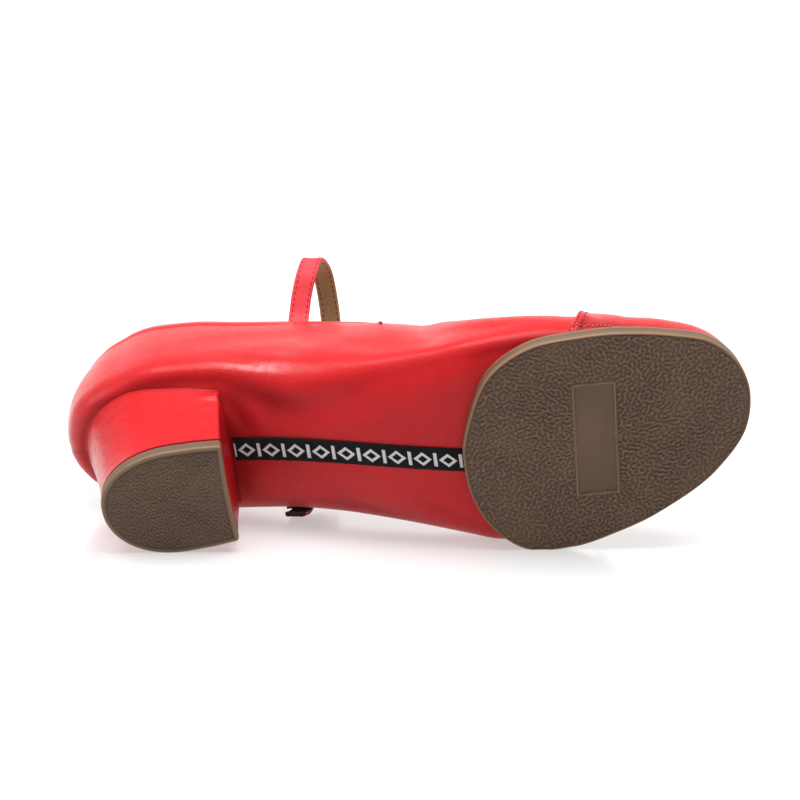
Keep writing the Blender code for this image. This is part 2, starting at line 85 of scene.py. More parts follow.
# the form of the shoe
gap = 0.3
wall = 1.9
heelCentre = 35.0
toeCentre = 192.0
throat = 160.0
quarterFront = 104.0
toeSlope = -0.33
upperSquare = 2.15
heelLean = 4.2  # of the back, inwards at the top line

formNames = ("x", "inner", "outer", "under", "widest", "ridge", "topline", "square")
formTable = np.array((
    (-6, 30.2, 29.0, 43.6, 60, 120, 87.0, 3.2),
    (15, 30.8, 29.0, 40.4, 57.5, 120, 87.0, 3.2),
    (35, 31.6, 29.6, 36.4, 54.5, 120, 86.0, 3.1),
    (50, 32.0, 31.2, 32.6, 51, 118, 83.5, 2.8),
    (65, 31.0, 32.2, 28.6, 47, 113, 80.5, 2.4),
    (80, 30.6, 32.6, 23.4, 42, 106, 78.0, 2.2),
    (95, 31.0, 33.8, 17.8, 36.5, 97, 76.0, 2.2),
    (110, 32.0, 36.0, 12.2, 31, 88, 73.0, 2.3),
    (125, 33.4, 38.8, 7.8, 26, 77.5, 67.5, 2.6),
    (140, 36.0, 42.2, 5.0, 21, 67.5, 61.0, 3.1),
    (150, 37.5, 44.8, 4.3, 17.8, 60.6, 57.2, 3.5),
    (160, 38.2, 45.5, 4.3, 16.8, 54, 54, 3.9),
    (175, 38.0, 44.0, 4.3, 16.6, 46, 54, 4.1),
    (190, 36.4, 41.2, 4.3, 16.8, 39.6, 54, 4.2),
    (202, 34.6, 37.6, 4.3, 17.2, 35.6, 54, 4.2),
    (214, 32.6, 33.0, 5.4, 17.6, 33, 54, 4.1),
    (228, 28.6, 26.0, 7.8, 18.6, 30, 54, 4.0),
    (240, 20.0, 14.0, 10.6, 19.8, 26, 54, 4.0),
    (252, 10.0, 10.0, 13.6, 21.5, 22, 54, 4.0),
), float)

# reach of the widest line from the toe's and the heel's centre, by the angle from straight ahead
toeReach = np.array((
    (-112.5, 47.6), (-90, 41.1), (-67.5, 39.2), (-45, 42.4), (-22.5, 49.2), (0, 53.6),
    (22.5, 49.1), (45, 40.1), (67.5, 35.2), (90, 36.1), (112.5, 40.3),
), float)
heelReach = np.array((
    (67.5, 34.2), (90, 31.6), (112.5, 31.2), (135, 34.0), (157.5, 37.4), (180, 38.0),
    (202.5, 35.6), (225, 31.2), (247.5, 28.8), (270, 29.6), (292.5, 32.0),
), float)


def curveAt(at, xs, ys):
    # a smooth curve through a table's points, level at its peaks and where it meets a flat
    at = np.asarray(at, float)
    slopes = np.gradient(ys, xs)
    steps = np.diff(ys)
    slopes[1:-1][steps[1:] * steps[:-1] <= 0] = 0
    k = np.clip(np.searchsorted(xs, at) - 1, 0, len(xs) - 2)
    width = xs[k + 1] - xs[k]
    t = (at - xs[k]) / width
    return (
        (2 * t**3 - 3 * t**2 + 1) * ys[k]
        + (t**3 - 2 * t**2 + t) * width * slopes[k]
        + (3 * t**2 - 2 * t**3) * ys[k + 1]
        + (t**3 - t**2) * width * slopes[k + 1]
    )


def form(name, x):
    return curveAt(x, formTable[:, 0], formTable[:, formNames.index(name)])


def reach(table, angle):
    return curveAt(angle, table[:, 0], table[:, 1])


def riseShare(share, square):
    # rise of a rounded corner, from 0 on the flat to 1 at the side
    return 1 - np.maximum(0, 1 - np.abs(share) ** square) ** (1 / square)


def smoothStep(low, high, value):
    t = np.clip((np.asarray(value, float) - low) / (high - low), 0, 1)
    return t * t * (3 - 2 * t)


def unit(ways):
    return ways / np.maximum(np.linalg.norm(ways, axis=-1, keepdims=True), 1e-9)


def lengthsAlong(path):
    # distance from a path's start at each of its points
    return np.concatenate([[0], np.cumsum(np.linalg.norm(np.diff(path, axis=0), axis=1))])


def allPoints(*grids):
    return np.concatenate([grid.reshape(-1, 3) for grid in grids])


def bell(value, width):
    return np.exp(-((value / width) ** 2))


def makeRibs(fanSteps, vampSteps, throatSteps, quarterSteps):
    # half sections all round, from the toe by the inner side to the heel and back
    inner = [(toeCentre, a, float(reach(toeReach, a))) for a in np.linspace(0, 90, fanSteps + 1)]
    outer = [(toeCentre, -a, float(reach(toeReach, -a))) for a in np.linspace(0, 90, fanSteps + 1)]
    vamp = np.linspace(toeCentre, throat, vampSteps + 1)[1:]
    opening = throat - (throat - quarterFront) * np.linspace(0, 1, throatSteps + 1)[1:] ** 2
    quarter = np.linspace(quarterFront, heelCentre, quarterSteps + 1)[1:-1]
    for x in (*vamp, *opening, *quarter):
        inner.append((x, 90, float(form("inner", x))))
        outer.append((x, -90, float(form("outer", x))))
    for a in np.linspace(90, 180, fanSteps + 1):
        inner.append((heelCentre, a, float(reach(heelReach, a))))
        outer.append((heelCentre, -a, float(reach(heelReach, 360 - a))))
    return inner + outer[-2:0:-1]


def ribPoints(rib, underSteps, sideSteps):
    centre, angle, wide = rib
    ahead, aside = math.cos(math.radians(angle)), math.sin(math.radians(angle))
    edge = centre + ahead * wide
    square = float(form("square", edge))
    low = float(form("widest", edge))
    rise = low - float(form("under", edge))
    share = np.sin(0.5 * np.pi * np.arange(underSteps + 1) / underSteps) ** (2 / square)
    height = form("under", centre + ahead * wide * share) + rise * riseShare(share, square)
    top = float(form("ridge", centre))
    openPart = min(1.0, (float(form("topline", edge)) - low) / (top - low))
    turn = math.asin(openPart ** (upperSquare / 2)) * np.arange(1, sideSteps + 1) / sideSteps
    upShare = np.maximum(0, np.cos(turn)) ** (2 / upperSquare)
    upShare[upShare < 1e-4] = 0
    upHeight = low + (top - low) * np.sin(turn) ** (2 / upperSquare)
    if ahead > 0.001 and centre > throat:
        upHeight += toeSlope * ahead * wide * upShare * (1 - upShare)
    lean = heelLean * max(0.0, -ahead) ** 3 * (np.arange(1, sideSteps + 1) / sideSteps) ** 1.6
    out = np.append(wide * share, wide * upShare - lean)
    height = np.append(height, upHeight)
    return np.stack([centre + ahead * out, aside * out, height], 1)


def makeForm(fanSteps, vampSteps, throatSteps, quarterSteps, underSteps, sideSteps):
    # points of all half sections, from the middle of the underside up, and their outward ways
    ribs = makeRibs(fanSteps, vampSteps, throatSteps, quarterSteps)
    grid = np.array([ribPoints(rib, underSteps, sideSteps) for rib in ribs])
    across = np.roll(grid, -1, 0) - np.roll(grid, 1, 0)
    along = np.gradient(grid, axis=1)
    normals = np.cross(across, along)
    mirror = [(-i) % len(grid) for i in range(len(grid))]
    for j in (0, grid.shape[1] - 1):
        joined = np.linalg.norm(grid[:, j] - grid[mirror, j], axis=1) < 0.01
        summed = normals[:, j] + normals[mirror, j]
        normals[joined, j] = summed[joined]
    centre = np.abs(grid[:, -1, 0] - toeCentre) + np.abs(grid[:, -1, 1]) < 0.01
    normals[centre, -1] = (-toeSlope, 0, 1)
    normals[:, 0] = np.where(np.abs(normals[:, :1, 2]) < 1e-9, (0, 0, -1), normals[:, 0])
    return grid, unit(normals)


def underside(x, s):
    # height of the form's underside at places in plan
    x, s = np.asarray(x, float), np.asarray(s, float)
    back = x < heelCentre
    angle = np.degrees(np.arctan2(s, x - heelCentre)) % 360
    share = np.hypot(x - heelCentre, s) / reach(heelReach, np.clip(angle, 68, 292))
    edge = np.where(back, heelCentre + (x - heelCentre) / np.maximum(share, 1e-6), x)
    side = np.where(s > 0, form("inner", x), form("outer", x))
    share = np.where(back, share, np.abs(s) / side)
    square = form("square", edge)
    rise = form("widest", edge) - form("under", edge)
    return form("under", x) + rise * riseShare(np.minimum(share, 0.999), square)


def wallPoint(x, z, side, out):
    # points that far outside the form's side wall; side is 1 on the inner side, -1 on the outer
    x, z = np.asarray(x, float), np.asarray(z, float)

    def sAt(x, z):
        wide = form("inner" if side > 0 else "outer", x)
        low, top, under, square = (form(name, x) for name in ("widest", "ridge", "under", "square"))
        high = np.clip((z - low) / (top - low), 0, 1)
        deep = np.clip((low - z) / (low - under), 0, 1)
        above = wide * (1 - high**upperSquare) ** (1 / upperSquare)
        below = wide * (1 - deep**square) ** (1 / square)
        return np.where(z > low, above, below)

    byX = sAt(x + 0.5, z) - sAt(x - 0.5, z)
    byZ = sAt(x, z + 0.5) - sAt(x, z - 0.5)
    length = np.sqrt(1 + byX**2 + byZ**2)
    return np.stack(
        [x - out * byX / length, side * (sAt(x, z) + out / length), z - out * byZ / length], -1
    )


# mesh helpers
def addThing(name, data):
    thing = bpy.data.objects.new(name, data)
    bpy.context.scene.collection.objects.link(thing)
    return thing


def makePiece(name, points, faces, materials, faceMaterial=None, values=None, uv=None, sharp=None):
    # points in the shoe's millimetres; values are named numbers kept on the points
    mesh = bpy.data.meshes.new(name)
    mesh.from_pydata([tuple(p) for p in toWorld(points)], [], [tuple(f) for f in faces])
    for material in materials:
        mesh.materials.append(material)
    if faceMaterial is not None:
        mesh.polygons.foreach_set("material_index", np.asarray(faceMaterial, np.int32))
    for key, numbers in (values or {}).items():
        layer = mesh.attributes.new(key, "FLOAT", "POINT")
        layer.data.foreach_set("value", np.asarray(numbers, np.float32))
    if uv is not None:
        layer = mesh.uv_layers.new(name="UVMap")
        corners = np.zeros(len(mesh.loops), np.int32)
        mesh.loops.foreach_get("vertex_index", corners)
        layer.data.foreach_set("uv", np.asarray(uv, np.float32)[corners].ravel())
    mesh.shade_smooth()
    thing = addThing(name, mesh)
    merge(mesh)
    if sharp:
        mesh.set_sharp_from_angle(angle=math.radians(sharp))
    return thing


mergeWithin = 0.00001  # metres


def merge(mesh):
    # joins doubled points, drops empty faces and turns every face outwards
    bm = bmesh.new()
    bm.from_mesh(mesh)
    bmesh.ops.remove_doubles(bm, verts=bm.verts, dist=mergeWithin)
    bmesh.ops.dissolve_degenerate(bm, edges=bm.edges, dist=mergeWithin / 10)
    bmesh.ops.recalc_face_normals(bm, faces=bm.faces)
    bm.to_mesh(mesh)
    bm.free()


def quadsOf(ids):
    # faces between the rows and columns of a grid of point numbers
    return np.stack([ids[:-1, :-1], ids[1:, :-1], ids[1:, 1:], ids[:-1, 1:]], 2).reshape(-1, 4)


def gridFaces(rows, columns, closedRows=False, closedColumns=False, start=0):
    ids = np.arange(rows * columns).reshape(rows, columns) + start
    if closedRows:
        ids = np.vstack([ids, ids[:1]])
    if closedColumns:
        ids = np.hstack([ids, ids[:, :1]])
    return quadsOf(ids)


def sheetPiece(name, front, behind, material, **more):
    # two grids of points, one behind the other, closed by walls round their edges
    count, columns = front.shape[:2]
    start = count * columns
    faces = [gridFaces(count, columns), gridFaces(count, columns, start=start)[:, ::-1]]
    ids = np.arange(start).reshape(count, columns)
    for line in (ids[0], ids[-1], ids[:, 0], ids[:, -1]):
        faces.append(quadsOf(np.stack([line, line + start], 1)))
    faces = np.concatenate(faces)
    return makePiece(name, allPoints(front, behind), faces, [material], sharp=50, **more)


def ringPiece(name, rings, materials, **more):
    # walls between closed rings of points; the first and last ring close to a point or a disc
    rings = np.array(rings)
    count, around = rings.shape[:2]
    faces = gridFaces(count, around, closedColumns=True)
    return makePiece(name, rings.reshape(-1, 3), faces, materials, **more)


def roundEdge(first, second, bulge, steps):
    # rows of points of a rounded edge from one row to another
    middle, half = (first + second) / 2, (first - second) / 2
    turns = np.linspace(0, math.pi, steps)[1:-1]
    return [middle + half * math.cos(turn) + bulge * math.sin(turn) for turn in turns]


def toPolyline(points, path):
    # distance from each point to a path, and the share of the path's length where it is nearest
    path = np.asarray(path, float)
    best = np.full(len(points), 1e9)
    where = np.zeros(len(points))
    lengths = np.linalg.norm(np.diff(path, axis=0), axis=1)
    starts = lengthsAlong(path)
    for a, b, start, length in zip(path, path[1:], starts, lengths):
        t = np.clip(((points - a) @ (b - a)) / length**2, 0, 1)
        far = np.linalg.norm(points - (a + t[:, None] * (b - a)), axis=1)
        closer = far < best
        best[closer] = far[closer]
        where[closer] = (start + t[closer] * length) / starts[-1]
    return best, where


def smoothPath(points, count):
    given = np.array(points, float)
    at = lengthsAlong(given)
    spots = np.linspace(0, at[-1], count)
    return np.stack([curveAt(spots, at, given[:, k]) for k in range(given.shape[1])], 1)


# shader helpers
class Value:
    # a socket in a material's tree, with arithmetic
    def __init__(self, shade, socket):
        self.shade, self.socket = shade, socket

    def math(self, how, *others):
        values = {0: self, **dict(enumerate(others, 1))}
        return self.shade.node("ShaderNodeMath", {"operation": how}, values)

    def __add__(self, other):
        return self.math("ADD", other)

    def __sub__(self, other):
        return self.math("SUBTRACT", other)

    def __rsub__(self, other):
        return self.shade.node("ShaderNodeMath", {"operation": "SUBTRACT"}, {0: other, 1: self})

    def __mul__(self, other):
        return self.math("MULTIPLY", other)

    def __truediv__(self, other):
        return self.math("DIVIDE", other)

    __radd__ = __add__
    __rmul__ = __mul__

    def part(self, axis):
        return self.shade.node("ShaderNodeSeparateXYZ", {}, {0: self}, out=axis)

    def ramp(self, low, high, toLow=0.0, toHigh=1.0):
        # a soft step, from toLow where this is low to toHigh where it is high
        values = {0: self, 1: low, 2: high, 3: toLow, 4: toHigh}
        return self.shade.node("ShaderNodeMapRange", {"interpolation_type": "SMOOTHSTEP"}, values)


class Shade:
    # a material under construction
    def __init__(self, name, colour, roughness):
        self.material = bpy.data.materials.new(name)
        self.material.use_nodes = True
        self.tree = self.material.node_tree
        self.shader = self.tree.nodes["Principled BSDF"]
        self.set("Base Color", colour)
        self.set("Roughness", roughness)
        self.material.diffuse_color = (*colour, 1)

    def node(self, kind, settings=None, values=None, out=0):
        made = self.tree.nodes.new(kind)
        for key, value in (settings or {}).items():
            setattr(made, key, value)
        for key, value in (values or {}).items():
            self.feed(made.inputs[key], value)
        return Value(self, made.outputs[out])

    def feed(self, socket, value):
        if isinstance(value, Value):
            self.tree.links.new(value.socket, socket)
        elif socket.type == "RGBA":
            socket.default_value = (*value, 1)
        else:
            socket.default_value = value

    def set(self, name, value):
        self.feed(self.shader.inputs[name], value)

    def place(self):
        # the point on the object, in millimetres
        spot = self.node("ShaderNodeTexCoord", out="Object")
        return self.node("ShaderNodeVectorMath", {"operation": "SCALE"}, {0: spot, "Scale": 1000.0})

    def kept(self, name):
        # a number kept on the mesh's points
        return self.node("ShaderNodeAttribute", {"attribute_name": name}, out="Fac")

    def noise(self, place, size, detail=3, roughness=0.5):
        # size is the width of a blotch in millimetres
        values = {"Vector": place, "Scale": 1 / size, "Detail": detail, "Roughness": roughness}
        return self.node("ShaderNodeTexNoise", {}, values)

    def pores(self, place, size):
        # low at the edges between cells of that many millimetres
        values = {"Vector": place, "Scale": 1 / size}
        return self.node("ShaderNodeTexVoronoi", {"feature": "DISTANCE_TO_EDGE"}, values)

    def mix(self, share, first, second):
        # 6 and 7 are the two colours of the node, and 2 is its colour out
        values = {"Factor": share, 6: first, 7: second}
        return self.node("ShaderNodeMix", {"data_type": "RGBA"}, values, out=2)

    def bump(self, height, depth, below=None):
        # depth in millimetres of a height that runs from 0 to 1
        values = {"Height": height, "Distance": depth / 1000, "Strength": 1.0}
        if below:
            values["Normal"] = below
        return self.node("ShaderNodeBump", {}, values)


# finishes
leatherLook = {
    "colour": (0.52, 0.012, 0.015),
    # deep: a darker red, used both for the broad random tone and for painted shade
    "deep": (0.16, 0.0005, 0.001),
    "worn": (0.62, 0.030, 0.036),
    "grain": 0.8,
    "grainDepth": 0.06,
    "roughness": 0.38,
    "coat": 0.2,
    "gloss": {
        "Specular IOR Level": 0.06,
        "Coat Roughness": 0.27,
        "Sheen Weight": 0.25,
        "Sheen Roughness": 0.4,
    },
}
heelLeatherLook = {
    **leatherLook,
    "grain": 0.65,
    "grainDepth": 0.025,
    "gloss": {"Specular IOR Level": 0.08, "Coat Roughness": 0.3},
}
strapLeatherLook = {
    **leatherLook,
    "colour": (0.72, 0.06, 0.075),
    "grain": 0.65,
    "roughness": 0.5,
    "coat": 0.05,
}


def redLeather(name, look):
    # kept on its points: fold, how much shade is painted into creases, corners and hollows (it also dulls
    # the coat there), and shine, how much more it gleams
    shade = Shade(name, look["colour"], look["roughness"])
    place = shade.place()
    broad = shade.noise(place, 26, 2)
    small = shade.noise(place, 3.2, 4, 0.6)
    fold = shade.kept("fold")
    colour = shade.mix(broad.ramp(0.3, 0.75, 0.0, 0.12), look["colour"], look["deep"])
    colour = shade.mix(small.ramp(0.45, 0.8, 0.0, 0.16), colour, look["worn"])
    # painted shade: towards the deep red wherever fold is kept
    colour = shade.mix(fold.math("MINIMUM", 1.0) * 0.92, colour, look["deep"])
    shade.set("Base Color", colour)
    pores = shade.pores(place, look["grain"])
    fine = shade.noise(place, 0.35, 2)
    grain = pores.ramp(0.0, 0.32) * 0.75 + fine * 0.25
    fuzz = shade.noise(place, 5.5, 2)
    shade.set("Normal", shade.bump(fuzz, 0.16, shade.bump(grain, look["grainDepth"])))
    rough = look["roughness"] + 0.16 * small.ramp(0.35, 0.75) - 0.06 * pores.ramp(0.0, 0.3)
    shade.set("Roughness", rough)
    shine = shade.kept("shine") * small.ramp(0.3, 0.6, 0.25, 0.9)
    shade.set("Coat Weight", look["coat"] * (1 - fold.math("MINIMUM", 1.0)) + shine)
    for setting, value in look["gloss"].items():
        shade.set(setting, value)
    return shade.material


def softLining(name, colour):
    shade = Shade(name, colour, 0.8)
    place = shade.place()
    broad = shade.noise(place, 14, 3)
    nap = shade.noise(place, 0.6, 4, 0.7)
    dark = tuple(c * 0.62 for c in colour)
    light = tuple(min(1, c * 1.25) for c in colour)
    shade.set("Base Color", shade.mix(nap.ramp(0.3, 0.7), shade.mix(broad, dark, colour), light))
    shade.set("Normal", shade.bump(nap, 0.08))
    return shade.material


rubberLook = {
    "colour": (0.134, 0.073, 0.042),
    # hollow: painted shade between the raised worms, and the tone of the dark flecks; top: painted
    # highlight on the raised tops, and the tone of light patches
    "hollow": (0.074, 0.040, 0.025),
    "top": (0.215, 0.125, 0.070),
    # rim: the lighter edge, partly its own amber and partly a painted highlight along its rounding
    "rim": (0.215, 0.125, 0.062),
    "fleck": 0.5,
}
liftRubberLook = {
    **rubberLook,
    "colour": (0.120, 0.068, 0.041),
    "rim": (0.180, 0.104, 0.056),
    "fleck": 0.4,
}


def brownRubber(name, look):
    # kept on its points: relief, how high the tread stands, which also paints shade into the hollows and a
    # highlight onto the raised tops, and rim, how much of the lighter edge colour a point gets, partly the
    # edge's own amber and partly a painted highlight
    shade = Shade(name, look["colour"], 0.55)
    place = shade.place()
    relief = shade.kept("relief")
    rim = shade.kept("rim")
    cloud = shade.noise(place, 18, 3)
    grit = shade.noise(place, look["fleck"], 3, 0.6)
    # painted shade in the hollows between the worms and painted highlight on their tops
    colour = shade.mix(relief.ramp(0.15, 0.85), look["hollow"], look["colour"])
    colour = shade.mix(relief.ramp(0.7, 1.0, 0.0, 0.55), colour, look["top"])
    colour = shade.mix(cloud.ramp(0.35, 0.8, 0.0, 0.25), colour, look["top"])
    colour = shade.mix(grit.ramp(0.55, 0.8, 0.0, 0.3), colour, look["hollow"])
    # the lighter rim, partly the edge's own amber and partly a painted highlight
    colour = shade.mix(rim, colour, shade.mix(cloud, look["rim"], look["top"]))
    shade.set("Base Color", colour)
    shade.set("Normal", shade.bump(grit, 0.05, shade.bump(relief, 0.12)))
    shade.set("Roughness", 0.6 - 0.24 * relief + 0.1 * grit)
    shade.set("Specular IOR Level", 0.35)
    return shade.material


tapeLook = {
    "ground": (0.004, 0.004, 0.005),
    "figure": (0.80, 0.77, 0.78),
    "repeat": 9.0,
    "rib": 0.42,
    "diamond": 2.5,  # half its width
    "tall": 2.9,  # half the height of the figures
}


def wovenTape(name, look):
    # a row of diamonds and bars; u runs along the tape and v across it, both in millimetres
    shade = Shade(name, look["ground"], 0.8)
    uv = shade.node("ShaderNodeUVMap", {"uv_map": "UVMap"})
    u, v = uv.part(0), uv.part(1)
    thread = (u / look["rib"] * math.tau).math("SINE")
    weft = (v / (look["rib"] * 0.9) * math.tau).math("SINE")
    edge = shade.noise(uv, 0.5, 2) * 0.5 + thread * 0.12
    along = (u / look["repeat"]).math("FRACT") - 0.5
    diamond = along.math("ABSOLUTE") * look["repeat"] + v.math("ABSOLUTE") * 1.15
    ring = (diamond - look["diamond"]).math("ABSOLUTE") + edge * 0.25
    bar = ((along.math("ABSOLUTE") - 0.5) * look["repeat"]).math("ABSOLUTE") + edge * 0.25
    tall = v.math("ABSOLUTE") + edge * 0.2
    figure = ring.ramp(0.72, 0.9, 1.0, 0.0).math("MAXIMUM", bar.ramp(0.58, 0.75, 1.0, 0.0))
    figure = figure * tall.ramp(look["tall"] - 0.15, look["tall"], 1.0, 0.0)
    figure = figure * (0.86 + 0.14 * thread)
    shade.set("Base Color", shade.mix(figure, look["ground"], look["figure"]))
    shade.set("Normal", shade.bump(thread * weft * 0.5 + 0.5 + figure * 0.8, 0.12))
    shade.set("Specular IOR Level", 0.2)
    return shade.material


def plainThread(name, colour):
    shade = Shade(name, colour, 0.6)
    twist = shade.noise(shade.place(), 0.25, 2)
    shade.set("Base Color", shade.mix(twist, tuple(c * 0.7 for c in colour), colour))
    shade.set("Normal", shade.bump(twist, 0.05))
    shade.set("Specular IOR Level", 0.1)
    return shade.material


def hookFabric(name):
    shade = Shade(name, (0.028, 0.017, 0.013), 0.9)
    pile = shade.noise(shade.place(), 0.5, 4, 0.8)
    shade.set("Base Color", shade.mix(pile, (0.01, 0.006, 0.005), (0.07, 0.045, 0.035)))
    shade.set("Normal", shade.bump(pile, 0.25))
    return shade.material


leather = redLeather("red leather", leatherLook)
heelLeather = redLeather("heel leather", heelLeatherLook)
strapLeather = redLeather("strap leather", strapLeatherLook)
lining = softLining("tan lining", (0.42, 0.25, 0.12))
sockLining = softLining("sock lining", (0.42, 0.29, 0.17))
soleRubber = brownRubber("sole rubber", rubberLook)
liftRubber = brownRubber("lift rubber", liftRubberLook)
tapeCloth = wovenTape("woven tape", tapeLook)
redThread = plainThread("red thread", (0.40, 0.008, 0.014))
darkThread = plainThread("dark thread", (0.12, 0.004, 0.006))
paleThread = plainThread("pale thread", (0.62, 0.30, 0.26))
hookCloth = hookFabric("hook strip")
print("finishes made")

# stitches along a path
stitchLook = {"length": 1.7, "space": 2.3, "thick": 0.42}


def stitchTree():
    # stitches along a curve: a small rounded bar at each step, turned along the curve
    tree = bpy.data.node_groups.new("stitch row", "GeometryNodeTree")
    for name, kind in (
        ("Geometry", "NodeSocketGeometry"),
        ("Space", "NodeSocketFloat"),
        ("Length", "NodeSocketFloat"),
        ("Thick", "NodeSocketFloat"),
        ("Thread", "NodeSocketMaterial"),
    ):
        tree.interface.new_socket(name, in_out="INPUT", socket_type=kind)
    tree.interface.new_socket("Geometry", in_out="OUTPUT", socket_type="NodeSocketGeometry")

    def add(kind, **settings):
        made = tree.nodes.new(kind)
        for key, value in settings.items():
            setattr(made, key, value)
        return made

    def link(first, output, second, entry):
        tree.links.new(first.outputs[output], second.inputs[entry])

    start = add("NodeGroupInput")
    end = add("NodeGroupOutput")
    toPoints = add("GeometryNodeCurveToPoints", mode="LENGTH")
    bar = add("GeometryNodeMeshUVSphere")
    for entry, value in (("Segments", 6), ("Rings", 5), ("Radius", 0.5)):
        bar.inputs[entry].default_value = value
    sizes = add("ShaderNodeCombineXYZ")
    shape = add("GeometryNodeTransform")
    turn = add("FunctionNodeAlignRotationToVector", axis="X")
    instances = add("GeometryNodeInstanceOnPoints")
    realize = add("GeometryNodeRealizeInstances")
    paint = add("GeometryNodeSetMaterial")
    link(start, "Geometry", toPoints, "Curve")
    link(start, "Space", toPoints, "Length")
    link(start, "Length", sizes, 0)
    link(start, "Thick", sizes, 1)
    link(start, "Thick", sizes, 2)
    link(bar, "Mesh", shape, "Geometry")
    link(sizes, 0, shape, "Scale")
    link(toPoints, "Points", instances, "Points")
    link(toPoints, "Tangent", turn, "Vector")
    link(turn, "Rotation", instances, "Rotation")
    link(shape, "Geometry", instances, "Instance")
    link(instances, "Instances", realize, "Geometry")
    link(realize, "Geometry", paint, "Geometry")
    link(start, "Thread", paint, "Material")
    link(paint, "Geometry", end, "Geometry")
    return tree


stitchRows = stitchTree()


def sewRow(name, paths, thread, look=stitchLook):
    # one plain mesh of stitches along several paths
    curve = bpy.data.curves.new(name, "CURVE")
    curve.dimensions = "3D"
    for path in paths:
        spots = toWorld(path)
        spline = curve.splines.new("POLY")
        spline.points.add(len(spots) - 1)
        for point, spot in zip(spline.points, spots):
            point.co = (*spot, 1)
    guide = addThing(name + " guide", curve)
    rows = guide.modifiers.new("stitches", "NODES")
    rows.node_group = stitchRows
    ids = {item.name: item.identifier for item in stitchRows.interface.items_tree if item.in_out == "INPUT"}
    rows[ids["Space"]] = look["space"] / 1000
    rows[ids["Length"]] = look["length"] / 1000
    rows[ids["Thick"]] = look["thick"] / 1000
    rows[ids["Thread"]] = thread
    bpy.context.view_layer.update()
    evaluated = guide.evaluated_get(bpy.context.evaluated_depsgraph_get())
    mesh = bpy.data.meshes.new_from_object(evaluated)
    mesh.name = name
    bpy.data.objects.remove(guide)
    mesh.shade_smooth()
    return addThing(name, mesh)


# upper
upperMesh = {
    "fanSteps": 26,
    "vampSteps": 14,
    "throatSteps": 30,
    "quarterSteps": 26,
    "underSteps": 20,
    "sideSteps": 34,
}
